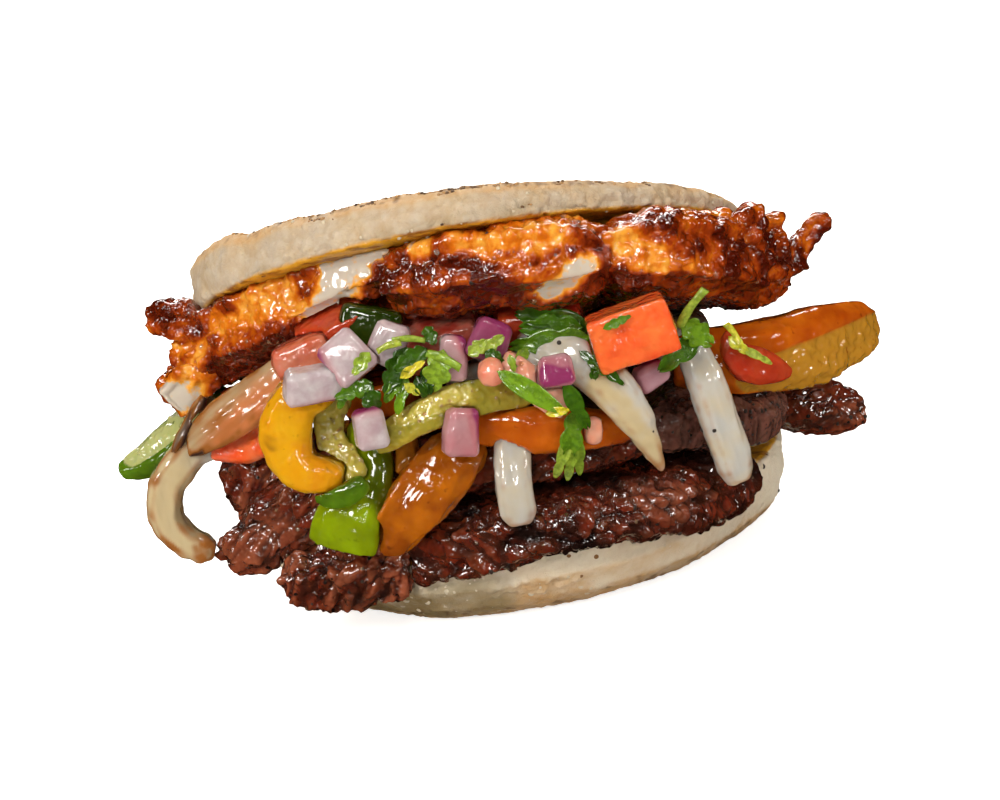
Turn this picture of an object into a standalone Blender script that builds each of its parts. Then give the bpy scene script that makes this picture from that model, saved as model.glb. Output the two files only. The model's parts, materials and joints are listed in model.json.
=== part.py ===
"""A filled arepa: two corn halves round grilled steak, fried cheese, soft peppers and onions, and salsa.

Metres, +Z up. The origin is the middle of the face that the bottom half rests on, and the open front
looks along -Y. Every guide point below is in millimetres.
"""

import math

import bmesh
import bpy
from mathutils import Euler, Matrix, Vector, noise

MM = 0.001
GAP = 0.35  # left between two pieces that touch
KEPT = 0.66  # share of the faces kept once a piece has been pressed against its neighbours
FEW_POINTS = 60  # a piece with no more points than this keeps all its faces

# The corn halves
BOTTOM_RADIUS = 55.7
BOTTOM_HEIGHT = 16
FOOT_RADIUS = 40.5
FOOT_SHIFT = 3.3  # the foot lies this far to the right of the cut face
RIM_SHIFT = 1.7  # the cut face lies this far to the left of the origin
TOP_RADIUS = 57
TOP_HEIGHT = 7.5
TOP_TAPER = 0.4  # share of the middle's height that the right rim lacks and the left rim has more
TOP_MIDDLE = (-3.3, -5.0, 58.5)
TOP_TILT = math.radians(21)  # front up
TOP_LEAN = math.radians(1.1)  # left up

STEAK = (0.16, 0.07, 0.05)
STEAK_GREY = (0.24, 0.16, 0.13)
CORN = (0.80, 0.71, 0.52)
CHEESE = (0.55, 0.20, 0.04)
CHEESE_WHITE = (0.85, 0.80, 0.66)
YELLOW = (0.85, 0.50, 0.01)
ORANGE = (0.78, 0.22, 0.01)
GREEN = (0.20, 0.42, 0.01)
OLIVE = (0.30, 0.32, 0.04)
ONION = (0.75, 0.70, 0.55)
PURPLE = (0.55, 0.33, 0.45)
TOMATO = (0.75, 0.08, 0.03)


def collection(name, hidden=False):
    made = bpy.data.collections.new(name)
    bpy.context.scene.collection.children.link(made)
    made.hide_render = hidden
    return made


def material(name, colour, roughness):
    made = bpy.data.materials.new(name)
    made.use_nodes = True
    shader = made.node_tree.nodes["Principled BSDF"]
    shader.inputs["Base Color"].default_value = (*colour, 1)
    shader.inputs["Roughness"].default_value = roughness
    return made


def add(name, mesh, colour, roughness=0.35):
    """The finished bmesh, in millimetres, as a named object in metres."""
    bmesh.ops.recalc_face_normals(mesh, faces=mesh.faces)
    bmesh.ops.scale(mesh, vec=(MM, MM, MM), verts=mesh.verts)
    bmesh.ops.triangulate(mesh, faces=mesh.faces)
    data = bpy.data.meshes.new(name)
    mesh.to_mesh(data)
    mesh.free()
    data.shade_smooth()
    data.materials.append(material(name, colour, roughness))
    made = bpy.data.objects.new(name, data)
    FOOD.objects.link(made)
    return made


def spaced(guides, count):
    """`count` rows of numbers, evenly spaced along a smooth curve through the guide rows."""
    last = len(guides) - 1
    rows = []
    for step in range(count):
        place = last * step / (count - 1)
        index = min(int(place), last - 1)
        t = place - index
        a = guides[max(index - 1, 0)]
        b = guides[index]
        c = guides[index + 1]
        d = guides[min(index + 2, last)]
        row = []
        for p, q, r, s in zip(a, b, c, d):
            bend = (2 * p - 5 * q + 4 * r - s) * t**2
            twist = (3 * q - p - 3 * r + s) * t**3
            row.append(0.5 * (2 * q + (r - p) * t + bend + twist))
        rows.append(row)
    return rows


def roughened(mesh, amount, grain, seed):
    """Moves every vertex by smooth noise: `amount` is its reach and `grain` the size of one bump."""
    shift = Vector((seed, 2 * seed, 3 * seed))
    for vert in mesh.verts:
        vert.co += noise.noise_vector(vert.co / grain + shift) * amount
    return mesh


def loft(rings):
    """A closed body through rings of equal length. The second half of a ring mirrors its first half."""
    mesh = bmesh.new()
    rows = [[mesh.verts.new(point) for point in ring] for ring in rings]
    size = len(rows[0])
    for row, following in zip(rows, rows[1:]):
        for index in range(size):
            after = (index + 1) % size
            mesh.faces.new((row[index], row[after], following[after], following[index]))
    for row in (rows[0], rows[-1]):
        for index in range(size // 2 - 1):
            mesh.faces.new((row[index], row[index + 1], row[-2 - index], row[-1 - index]))
    return mesh


def strip(name, colour, route, faces, along=9, arch=0.0, blunt=0.7, rough=0.25, seed=0):
    """A pepper or onion strip.

    A route row is x, y, z, width and thickness, and `faces` are the ways its skin looks. `arch` bows its
    skin outward and `blunt` is how much narrower its ends are.
    """
    rows = spaced(route, along)
    looks = spaced(faces, along)
    rings = []
    for step, row in enumerate(rows):
        middle = Vector(row[:3])
        ahead = Vector(rows[min(step + 1, along - 1)][:3]) - Vector(rows[max(step - 1, 0)][:3])
        ahead.normalize()
        outward = Vector(looks[step])
        outward = (outward - ahead * outward.dot(ahead)).normalized()
        across = ahead.cross(outward)
        shrink = blunt if step in (0, along - 1) else 1.0
        width = row[3] / 2 * shrink
        thick = row[4] / 2 * shrink
        ring = []
        for corner in range(8):
            angle = math.radians(22.5 + 45 * corner)
            side = math.copysign(abs(math.cos(angle)) ** 0.5, math.cos(angle))
            rise = math.copysign(abs(math.sin(angle)) ** 0.5, math.sin(angle))
            bow = arch * (1 - side**2)
            ring.append(middle + across * side * width + outward * (rise * thick + bow))
        rings.append(ring)
    mesh = roughened(loft(rings), rough, 7, seed)
    return add(name, mesh, colour)


def slab(name, colour, front, back, along=11, rough=0.8, grain=9, seed=0, edge=0.5):
    """A thick sheet between two rails, whose rows are x, y, z of the sheet's middle and its thickness."""
    thin_end = 0.6  # share of the thickness left at the first and the last ring
    shoulder = 0.95  # share of the thickness beside the flat middle
    rings = []
    fronts = spaced(front, along)
    backs = spaced(back, along)
    for step in range(along):
        near = Vector(fronts[step][:3])
        far = Vector(backs[step][:3])
        before = max(step - 1, 0)
        beyond = min(step + 1, along - 1)
        ahead = Vector(fronts[beyond][:3]) - Vector(fronts[before][:3])
        ahead += Vector(backs[beyond][:3]) - Vector(backs[before][:3])
        inward = far - near
        upward = ahead.cross(inward).normalized()
        shrink = thin_end if step in (0, along - 1) else 1.0
        thick_near = fronts[step][3] / 2 * shrink
        thick_far = backs[step][3] / 2 * shrink
        near_round = min(0.25, 0.8 * thick_near / inward.length)
        far_round = min(0.25, 0.8 * thick_far / inward.length)
        rounded = [(0, edge), (near_round, shoulder), (0.36, 1), (0.68, 1)]
        profile = [*rounded, (1 - far_round, shoulder), (1, edge)]
        top = []
        bottom = []
        for share, height in profile:
            middle = near.lerp(far, share)
            half = (thick_near * (1 - share) + thick_far * share) * height
            top.append(middle + upward * half)
            bottom.append(middle - upward * half)
        rings.append(top + bottom[::-1])
    mesh = roughened(loft(rings), rough, grain, seed)
    return add(name, mesh, colour)


def crisp(name, route):
    """A thin spike of browned cheese at the slab's edge."""
    return strip(name, CHEESE, route, [(0, -1, 0)] * len(route), 5, rough=0.3)


def lump(name, colour, middle, size, turn, rounding=0.5, rough=0.5, grain=6, seed=0, cuts=2):
    """A soft block: a cube whose faces are cut into squares, partly rounded and roughened."""
    ball_radius = 1.2  # beside a cube whose half side is 1
    mesh = bmesh.new()
    bmesh.ops.create_cube(mesh, size=2)
    bmesh.ops.subdivide_edges(mesh, edges=mesh.edges, cuts=cuts, use_grid_fill=True)
    for vert in mesh.verts:
        ball = vert.co.normalized() * ball_radius
        vert.co = vert.co.lerp(ball, rounding)
        vert.co = Vector(half * reach / 2 for half, reach in zip(vert.co, size))
    roughened(mesh, rough, grain, seed)
    place = Matrix.Translation(middle) @ Euler([math.radians(a) for a in turn]).to_matrix().to_4x4()
    bmesh.ops.transform(mesh, matrix=place, verts=mesh.verts)
    return add(name, mesh, colour)


def dice(name, colour, middle, size, turn, taper=0.85, bevel=0.8):
    """A cut cube of onion or tomato, narrower at its top and with small rounded edges."""
    mesh = bmesh.new()
    bmesh.ops.create_cube(mesh, size=1)
    for vert in mesh.verts:
        if vert.co.z > 0:
            vert.co.x *= taper
            vert.co.y *= taper
        vert.co = Vector(part * reach for part, reach in zip(vert.co, size))
    bmesh.ops.bevel(mesh, geom=mesh.edges, offset=bevel, segments=1, affect="EDGES", profile=0.5)
    roughened(mesh, 0.35, 5, middle[0])
    place = Matrix.Translation(middle) @ Euler([math.radians(a) for a in turn]).to_matrix().to_4x4()
    bmesh.ops.transform(mesh, matrix=place, verts=mesh.verts)
    return add(name, mesh, colour)


def turned(name, profile, steps):
    """The Screw modifier's solid of a profile of (radius, height) points in millimetres, as a bmesh."""
    data = bpy.data.meshes.new(name)
    points = [(radius, 0, height) for radius, height in profile]
    data.from_pydata(points, [(i, i + 1) for i in range(len(points) - 1)], [])
    guide = bpy.data.objects.new(name, data)
    HELPERS.objects.link(guide)
    screw = guide.modifiers.new("turn", "SCREW")
    screw.steps = steps
    screw.render_steps = steps
    screw.use_merge_vertices = True
    screw.merge_threshold = 0.0001
    mesh = bmesh.new()
    mesh.from_mesh(guide.evaluated_get(bpy.context.evaluated_depsgraph_get()).to_mesh())
    bpy.data.objects.remove(guide)
    bmesh.ops.remove_doubles(mesh, verts=mesh.verts, dist=0.0001)
    return mesh


def corn_half(name, radius, height, foot, steps=44):
    """One half, its cut face down at z = 0 and its flat outer face up, with a slightly uneven rim."""
    chamfer = 0.8
    bends = 4  # steps round the outer edge
    profile = [(0, height), (foot, height)]
    for bend in range(1, bends):
        angle = math.radians(90 * bend / bends)
        profile.append((foot + (radius - foot) * math.sin(angle), height * math.cos(angle)))
    profile += [(radius, chamfer), (radius - chamfer, 0), (0, 0)]
    mesh = turned(name, profile, steps)
    for vert in mesh.verts:
        angle = math.atan2(vert.co.y, vert.co.x)
        wave = 0.010 * math.sin(2 * angle + 0.6)
        wave += 0.008 * math.sin(3 * angle + 2.0)
        wave += 0.005 * math.sin(7 * angle)
        vert.co.x *= 1 + wave
        vert.co.y *= 1 + wave
    return mesh


def cut_face(x, y):
    """Height of the top half's cut face over a point."""
    middle_x, middle_y, middle_z = TOP_MIDDLE
    return middle_z - math.tan(TOP_TILT) * (y - middle_y) - math.tan(TOP_LEAN) * (x - middle_x)


def under_top(points, droop=0.0):
    """Rail rows that hug the cut face, from rows of x, y and thickness."""
    return [(x, y, cut_face(x, y) - thick / 2 - droop, thick) for x, y, thick in points]


def swollen(piece):
    """A cutter: a copy of the piece, GAP larger all round."""
    mesh = bmesh.new()
    mesh.from_mesh(piece.data)
    mesh.normal_update()
    moves = [vert.normal * GAP * MM * min(vert.calc_shell_factor(), 2) for vert in mesh.verts]
    for vert, move in zip(mesh.verts, moves):
        vert.co += move
    data = bpy.data.meshes.new(piece.name + "_cutter")
    mesh.to_mesh(data)
    mesh.free()
    cutter = bpy.data.objects.new(piece.name + "_cutter", data)
    cutter.display_type = "WIRE"
    cutter.hide_render = True
    HELPERS.objects.link(cutter)
    return cutter


def joined(piece, additions):
    """One body of the piece and the pieces that grow out of it, which are then removed."""
    for addition in additions:
        grow = piece.modifiers.new("join " + addition.name, "BOOLEAN")
        grow.operation = "UNION"
        grow.solver = "EXACT"
        grow.object = addition
    mesh = bmesh.new()
    mesh.from_mesh(piece.evaluated_get(bpy.context.evaluated_depsgraph_get()).to_mesh())
    piece.modifiers.clear()
    mesh.to_mesh(piece.data)
    mesh.free()
    for addition in additions:
        bpy.data.objects.remove(addition)
    return piece


def box(piece):
    corners = [vert.co for vert in piece.data.vertices]
    low = [min(corner[axis] for corner in corners) for axis in range(3)]
    high = [max(corner[axis] for corner in corners) for axis in range(3)]
    return low, high


def near_each_other(one, two):
    reach = GAP * MM
    for axis in range(3):
        if one[0][axis] > two[1][axis] + reach or two[0][axis] > one[1][axis] + reach:
            return False
    return True


def largest_body(mesh):
    """Leaves only the island of faces that encloses most."""
    left = set(mesh.faces)
    bodies = []
    while left:
        body = {left.pop()}
        edge_of_body = list(body)
        while edge_of_body:
            face = edge_of_body.pop()
            for edge in face.edges:
                for other in edge.link_faces:
                    if other in left:
                        left.remove(other)
                        body.add(other)
                        edge_of_body.append(other)
        bodies.append(body)

    def enclosed(body):
        total = 0.0
        for face in body:
            first, *others = [vert.co for vert in face.verts]
            for second, third in zip(others, others[1:]):
                total += first.dot(second.cross(third))
        return total

    bodies.sort(key=enclosed)
    for body in bodies[:-1]:
        bmesh.ops.delete(mesh, geom=list(body), context="FACES")


def nestle(pieces):
    """Cuts each piece by the ones before it, so that pieces press against each other and none overlap.

    The solver is MANIFOLD because EXACT leaves some of these soft shapes empty.
    """
    boxes = []
    for index, piece in enumerate(pieces):
        own = box(piece)
        cutters = []
        for other, other_box in zip(pieces[:index], boxes):
            if not near_each_other(own, other_box):
                continue
            cutter = swollen(other)
            cut = piece.modifiers.new("clear " + other.name, "BOOLEAN")
            cut.operation = "DIFFERENCE"
            cut.solver = "MANIFOLD"
            cut.object = cutter
            cutters.append(cutter)
        if cutters and len(piece.data.vertices) > FEW_POINTS:
            lighten = piece.modifiers.new("fewer faces", "DECIMATE")
            lighten.ratio = KEPT
            lighten.use_collapse_triangulate = True
        mesh = bmesh.new()
        mesh.from_mesh(piece.evaluated_get(bpy.context.evaluated_depsgraph_get()).to_mesh())
        piece.modifiers.clear()
        bmesh.ops.triangulate(mesh, faces=mesh.faces)
        largest_body(mesh)
        mesh.to_mesh(piece.data)
        mesh.free()
        for cutter in cutters:
            bpy.data.objects.remove(cutter)
        boxes.append(box(piece))


for old in list(bpy.data.objects):
    bpy.data.objects.remove(old)
noise.seed_set(7)
FOOD = collection("filled_arepa")
HELPERS = collection("helpers", hidden=True)

# --- corn halves ---------------------------------------------------------------------------------

mesh = corn_half("arepa_bottom", BOTTOM_RADIUS, BOTTOM_HEIGHT, FOOT_RADIUS)
upside_down = Matrix.Translation((0, 0, BOTTOM_HEIGHT)) @ Matrix.Rotation(math.pi, 4, "X")
bmesh.ops.transform(mesh, matrix=upside_down, verts=mesh.verts)
for vert in mesh.verts:
    vert.co.x += FOOT_SHIFT * (1 - vert.co.z / BOTTOM_HEIGHT) - RIM_SHIFT
arepa_bottom = add("arepa_bottom", mesh, CORN, 0.7)

mesh = corn_half("arepa_top", TOP_RADIUS, TOP_HEIGHT, TOP_RADIUS - 5)
for vert in mesh.verts:
    vert.co.z *= 1 - TOP_TAPER * vert.co.x / TOP_RADIUS
tilted = Matrix.Rotation(TOP_LEAN, 4, "Y") @ Matrix.Rotation(-TOP_TILT, 4, "X")
bmesh.ops.transform(mesh, matrix=Matrix.Translation(TOP_MIDDLE) @ tilted, verts=mesh.verts)
arepa_top = add("arepa_top", mesh, CORN, 0.7)

# --- red onion dice ------------------------------------------------------------------------------

onion_dice = [
    dice("red_onion_left", PURPLE, (-34, -60, 56), (12, 6, 6), (10, 5, 12)),
    dice("red_onion_upper_left", PURPLE, (-27.5, -60, 59.5), (8.5, 5, 8.5), (-20, -28, 10)),
    dice("red_onion_behind_herbs", PURPLE, (-20, -57, 60), (7, 5, 8), (-10, 30, -10)),
    dice("red_onion_cup", PURPLE, (-26, -62, 46.5), (6, 5, 7.5), (0, 0, 15)),
    dice("red_onion_low", PURPLE, (-10, -62, 42.5), (6.5, 4.5, 9), (0, 15, 20)),
    dice("red_onion_dark", PURPLE, (-2, -57, 57), (7.5, 5, 8), (-15, 35, 0)),
    dice("red_onion_pink", PURPLE, (-9, -58, 55.5), (5.5, 5, 8), (0, 15, 0)),
    dice("red_onion_middle", PURPLE, (8.6, -65, 51), (6.5, 5, 5.4), (-20, 5, 5)),
    dice("red_onion_right", PURPLE, (26, -56, 44.8), (6.5, 4.5, 4.5), (0, -20, 10)),
]

# --- tomato --------------------------------------------------------------------------------------

front_tomato = [
    lump("tomato_big", TOMATO, (23.6, -59.5, 54), (15, 9, 10), (0, -8, 0), 0.1, 0.4, 8, 1),
    strip(
        "tomato_right",
        TOMATO,
        [(42.5, -48, 48.3, 1.6, 2), (42.4, -48.4, 44.7, 4.6, 4), (45, -48.2, 41.2, 7.4, 5),
         (48.6, -47, 39.4, 6.4, 4.5), (52.8, -45.6, 37.4, 2.4, 3)],
        [(0.1, -1, 0.1), (0.2, -1, 0.1), (0.3, -1, 0.1), (0.4, -1, 0.1), (0.5, -1, 0.1)],
        9,
        0.5,
    ),
    strip(
        "tomato_flesh",
        TOMATO,
        [(0, -61, 54, 5, 4), (5, -64, 48.5, 6, 4), (9, -64, 43, 4.5, 4)],
        [(0, -1, 0.2)] * 3,
        6,
    ),
    lump("tomato_blob", TOMATO, (-2.5, -62.5, 52.5), (4.5, 4.5, 4.5), (0, 0, 0), 0.9, 0.2, 6, 4, 1),
    lump("tomato_drop", TOMATO, (13.6, -60, 37.6), (3.4, 3.4, 5), (0, 10, 0), 0.7, 0.3, 6, 6, 1),
]
back_tomato = [
    lump("tomato_pink", TOMATO, (-36, -47, 58), (11, 10, 8), (0, -10, 0), 0.5, 0.6, 6, 7),
    lump("tomato_red_behind", TOMATO, (-30, -42, 62), (14, 16, 8), (20, -20, 0), 0.3, 0.6, 8, 8),
    lump("tomato_dark_behind", TOMATO, (-11, -42, 58), (15, 20, 8), (18, -5, 0), 0.3, 0.6, 8, 9),
    lump("tomato_right_behind", TOMATO, (8, -42, 58), (16, 20, 8), (18, 5, 0), 0.3, 0.6, 8, 10),
    slab(
        "tomato_slice_left",
        TOMATO,
        [(-60, -35, 40, 4), (-52, -38, 38.5, 4), (-44, -42, 42, 4)],
        [(-56, -24, 50, 4), (-48, -28, 52, 4), (-40, -32, 53, 4)],
        7,
        0.4,
    ),
]

# --- onion strips --------------------------------------------------------------------------------

onions = [
    strip(
        "onion_centre",
        ONION,
        [(3, -52, 54, 7, 3.5), (14, -59, 50, 9, 3.5), (20.5, -60, 41, 8, 3.5), (25, -56, 27, 2, 2.4)],
        [(0, -1, 0.5), (0.2, -1, 0.3), (0.2, -1, 0), (0, -1, -0.2)],
        arch=0.8,
    ),
    strip(
        "onion_right",
        ONION,
        [(34.7, -50, 48, 6.5, 3.5), (37, -53, 37, 7.5, 3.5), (39.5, -51, 20, 7, 3.2)],
        [(0, -1, 0.3), (0.2, -1, 0), (0.3, -1, 0)],
        arch=0.8,
    ),
    strip(
        "onion_low",
        ONION,
        [(-1, -56, 39, 6.5, 3.5), (-2.5, -60, 30, 7, 3.5), (-2.5, -60.5, 23, 6.5, 3)],
        [(0, -1, 0)] * 3,
        7,
        arch=0.8,
    ),
    strip(
        "onion_curl_left",
        ONION,
        [
            (-56, -31, 42, 6, 5),
            (-63, -33, 41.5, 6, 6.5),
            (-69, -34, 36, 6, 7),
            (-70.7, -34, 29.5, 6, 6.5),
            (-68, -34, 24, 6, 6),
            (-63, -34, 21, 5, 5),
        ],
        [(0, 0, 1), (-0.5, 0, 1), (-1, 0, 0.4), (-1, 0, -0.2), (-0.7, 0, -1), (0, 0, -1)],
        13,
    ),
    slab(
        "onion_petal_left",
        ONION,
        [(-67, -34, 40, 2.6), (-58, -38, 42, 3), (-48, -42, 46, 3), (-40, -44, 52, 2.6)],
        [(-63, -33, 46, 2.6), (-56, -36, 51, 3), (-48, -38, 55, 3), (-40, -40, 59, 2.6)],
        8,
        0.3,
    ),
    strip(
        "onion_sliver",
        ONION,
        [(-58, -34, 52, 2.6, 2), (-62, -35, 47.5, 2.6, 2), (-66, -36, 42.5, 2, 1.8)],
        [(-0.5, -1, 0.5)] * 3,
        6,
        rough=0.1,
    ),
]

# --- pepper strips -------------------------------------------------------------------------------

peppers = [
    strip(
        "pepper_yellow_curl",
        YELLOW,
        [
            (-32, -53, 53, 9, 6),
            (-37.5, -54, 53.2, 10, 8),
            (-41.5, -54, 49, 10, 9.5),
            (-42, -54, 43.5, 10, 9),
            (-39.5, -55, 39, 10, 7),
            (-33, -56, 37, 9, 5.5),
        ],
        [(0.2, 0, 1), (-0.4, 0, 1), (-1, 0, 0.6), (-1, 0, -0.3), (-0.7, 0, -1), (0, 0, -1)],
        13,
    ),
    strip(
        "pepper_olive_fold",
        OLIVE,
        [(-31, -49, 52, 7, 3), (-35, -52, 45, 7.5, 3), (-32.5, -55, 39, 8, 3), (-31, -57, 35.5, 7, 3)],
        [(0, -1, 0)] * 4,
    ),
    strip(
        "pepper_fold_tip",
        GREEN,
        [(-38.5, -58, 34.8, 3.6, 3), (-33.5, -60, 34.3, 4.4, 3), (-29, -59.5, 36, 3.6, 3)],
        [(0, -1, -0.2)] * 3,
        6,
        rough=0.15,
    ),
    strip(
        "pepper_green_drop",
        GREEN,
        [
            (-27, -48, 44, 8, 4),
            (-29, -54, 35, 9.5, 4.5),
            (-33.3, -56.5, 29.5, 12, 4.5),
            (-35.8, -56.3, 24, 14.5, 4.5),
        ],
        [(-0.2, -1, 0.2), (-0.2, -1, 0), (-0.3, -1, 0), (-0.3, -1, -0.1)],
        arch=1.2,
        blunt=0.95,
    ),
    strip(
        "pepper_green_long",
        OLIVE,
        [(-26, -57, 41.5, 5, 3.5), (-16, -60, 46.5, 6.5, 4), (-5, -59, 47.5, 7, 4), (5, -55, 46.5, 6.5, 4)],
        [(0, -1, 0.4)] * 4,
        arch=-0.5,
    ),
    strip(
        "pepper_orange_fold",
        ORANGE,
        [(-8, -52, 38.5, 9, 4), (-16, -56, 33.5, 11, 5), (-23.5, -57.5, 28, 11.5, 5), (-29, -56, 23, 9, 4)],
        [(-0.3, -1, 0.3), (-0.3, -1, 0.2), (-0.4, -1, 0), (-0.4, -1, 0)],
        arch=1.0,
    ),
    strip(
        "pepper_orange_sliver",
        ORANGE,
        [(-20, -50, 42, 3.5, 3), (-21.5, -55, 35, 4.5, 3), (-22, -56, 29, 3, 3)],
        [(-0.5, -1, 0)] * 3,
        6,
        rough=0.15,
    ),
    strip(
        "pepper_orange_middle",
        ORANGE,
        [(-9, -53, 42, 7, 4), (2, -58, 39.5, 8.5, 4.5), (12, -57, 37.5, 8, 4.5), (22, -51, 34, 4, 3)],
        [(0, -1, -0.2)] * 4,
        arch=1.0,
    ),
    strip(
        "pepper_orange_right",
        ORANGE,
        [
            (32, -38, 41.5, 12, 6),
            (46, -38, 40, 14, 7),
            (59, -32, 38, 15.5, 7),
            (68.5, -25, 37.5, 13.5, 6),
            (74.2, -20, 38, 8.5, 5),
        ],
        [(0.3, -1, 0.1), (0.4, -1, 0.1), (0.5, -1, 0.1), (0.6, -1, 0.1), (0.6, -1, 0.1)],
        arch=2.0,
        along=10,
    ),
    strip(
        "pepper_green_tip",
        GREEN,
        [
            (-54, -24, 48.5, 9, 4),
            (-61, -27, 45.5, 9.5, 5),
            (-68, -28, 41.7, 10, 5),
            (-78.2, -28, 38.5, 4.2, 3),
        ],
        [(-0.4, -1, 1)] * 4,
        8,
        arch=1.0,
    ),
    lump("pepper_green_behind", GREEN, (-23, -48, 62), (11, 4, 7), (0, 20, 0), 0.3, 0.5, 6, 12, 1),
]

# --- fried cheese --------------------------------------------------------------------------------


cheeses = [
    joined(
        slab(
            "cheese_left",
            CHEESE,
            [
                (-62.3, -27, 61.2, 17),
                (-55, -33.5, 62.8, 19),
                (-44, -40.5, 66.5, 17),
                (-31, -47, 71.2, 13),
                (-17, -52, 74.3, 10),
            ],
            under_top([(-51, 4, 8), (-44, 20, 8), (-34, 33, 7.5), (-24, 40, 7), (-15, 43, 7)], 0.3),
            12,
            1.0,
            7,
            3,
        ),
        [crisp("crisp_left", [(-55, -30, 64, 6, 5), (-61, -27, 66, 7, 6), (-65.8, -26, 67, 5.5, 5)])],
    ),
    slab(
        "cheese_middle",
        CHEESE,
        [(-18, -53, 71.6, 14), (-6, -58, 71.8, 15.5), (8, -60.5, 70.8, 16.5), (22, -59, 68.9, 14)],
        under_top([(-12, 44, 7), (-2, 46, 7), (10, 46, 7), (20, 43, 7)], 0.3),
        10,
        1.0,
        7,
        9,
    ),
    joined(
        slab(
            "cheese_right",
            CHEESE,
            [
                (22, -59, 68.7, 14),
                (34, -56, 66.7, 16),
                (44, -50, 62.8, 18.5),
                (52, -41, 59, 20),
                (56, -33, 57.5, 15),
            ],
            under_top([(23, 42, 7), (33, 36, 7), (41, 27, 7.5), (47, 16, 8), (51, 2, 8)], 0.3),
            12,
            1.2,
            6,
            15,
        ),
        [
            crisp("crisp_low", [(47, -43, 63, 7, 5), (51, -40, 66.5, 4, 4), (52.6, -40, 67.8, 1.6, 2)]),
            crisp("crisp_middle", [(53, -36, 58, 8, 5), (55.2, -34, 62, 4, 3), (56, -34, 64.8, 1.8, 2)]),
            crisp(
                "crisp_high",
                [
                    (53, -35, 53.5, 8, 5),
                    (59.5, -30, 56, 4.5, 4),
                    (63.5, -28, 59, 3, 3),
                    (66, -28, 61.6, 4, 3.6),
                ],
            ),
        ],
    ),
    lump("cheese_corner", CHEESE_WHITE, (-61, -25, 53), (10, 14, 7), (0, -35, 0), 0.3, 0.6, 6, 20),
]

# --- strips that run through to the back ---------------------------------------------------------

deep = [
    strip(
        "pepper_orange_deep",
        ORANGE,
        [(-26, -42, 46, 16, 9), (-20, -8, 43, 16, 8), (-16, 26, 34, 15, 6), (-18, 50, 29, 12, 4)],
        [(0, 0, 1)] * 4,
        rough=0.6,
    ),
    strip(
        "onion_deep",
        ONION,
        [(-6, -42, 47, 16, 9), (0, -8, 43, 16, 8), (3, 26, 34, 14, 6), (2, 53, 28.5, 12, 4)],
        [(0, 0, 1)] * 4,
        rough=0.6,
        seed=3,
    ),
    strip(
        "pepper_green_deep",
        GREEN,
        [(14, -42, 47, 16, 9), (18, -8, 43, 16, 8), (22, 24, 34, 14, 6), (24, 48, 29, 12, 4)],
        [(0, 0, 1)] * 4,
        rough=0.6,
        seed=6,
    ),
    strip(
        "onion_deep_right",
        ONION,
        [(34, -34, 44, 14, 8), (36, -6, 41, 14, 8), (40, 14, 35, 13, 6), (44, 36, 29, 9, 4)],
        [(0, 0, 1)] * 4,
        rough=0.6,
        seed=9,
    ),
    strip(
        "pepper_yellow_deep",
        YELLOW,
        [(-44, -34, 46, 14, 8), (-38, -6, 44, 14, 8), (-34, 16, 37, 13, 6), (-38, 40, 29, 9, 4)],
        [(0, 0, 1)] * 4,
        rough=0.6,
        seed=12,
    ),
]

# --- steak ---------------------------------------------------------------------------------------

steaks = [
    strip(
        "steak_left_low",
        STEAK,
        [
            (-26, -40, 35, 13, 10),
            (-40, -40, 30, 13, 11),
            (-52.5, -35, 22.8, 13, 11),
            (-61.5, -31, 17.8, 8, 8),
        ],
        [(0.5, -1, 0.4)] * 4,
        rough=1.0,
        seed=2,
    ),
    lump("steak_left_top", STEAK, (-48.5, -26, 32), (20, 20, 14), (0, -10, 0), 0.4, 1.2, 6, 31, 3),
    slab(
        "steak_lower_left",
        STEAK,
        [(-50.5, -43, 12.8, 14.5), (-43, -48, 12.8, 17), (-34, -51, 12.8, 17), (-25, -53, 14, 15)],
        [(-46, -30, 16, 8), (-40, -28, 18, 8), (-32, -28, 20, 8), (-24, -28, 20, 8)],
        8,
        1.0,
        6,
        33,
    ),
    slab(
        "steak_lower",
        STEAK,
        [
            (-26, -51, 16, 16.5),
            (-12, -58, 17.7, 15.5),
            (6, -61, 19.6, 12.5),
            (23, -57, 18, 13),
            (36, -49, 15.8, 14),
            (44, -37, 15.5, 14),
        ],
        [(x, y, 21.5, 10) for x, y in ((-54, -4), (-46, 27), (-22, 47), (8, 52), (34, 42), (52, 10))],
        15,
        1.0,
        7,
        35,
    ),
    slab(
        "steak_right_block",
        STEAK_GREY,
        [(25, -51, 31.5, 13), (37, -47, 29.5, 14), (48, -40, 26, 13), (52.5, -33, 25, 10)],
        [(24, -18, 34, 10), (36, -14, 32, 10), (46, -12, 30, 10), (52, -14, 28, 8)],
        8,
        0.8,
        6,
        37,
    ),
    slab(
        "steak_upper",
        STEAK,
        [(-24, -44, 32, 11), (-12, -52, 32, 12), (4, -55, 32, 12), (24, -52, 32, 12)],
        [(-36, 10, 31, 8), (-14, 24, 31, 8), (8, 26, 31, 8), (28, 16, 31, 8)],
        10,
        0.9,
        7,
        39,
    ),
    strip(
        "steak_right_end",
        STEAK,
        [(34, 2, 30, 14, 10), (52, -11, 25.5, 14, 11), (62.5, -15, 21, 12, 10), (71.5, -16, 18, 6.5, 6)],
        [(0.4, -1, 0.3)] * 4,
        rough=0.9,
        seed=41,
    ),
]

halves = [arepa_bottom, arepa_top]
nestle(halves + onion_dice + front_tomato + onions + peppers + back_tomato + cheeses + steaks + deep)
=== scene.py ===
"""A filled arepa: two corn halves round grilled steak, fried cheese, soft peppers and onions, and salsa.

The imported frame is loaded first, and every piece below is laid over it. Sizes and places are in
millimetres in the frame's own axes: +Z up, and the open side looks along -Y.
"""

import math

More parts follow.
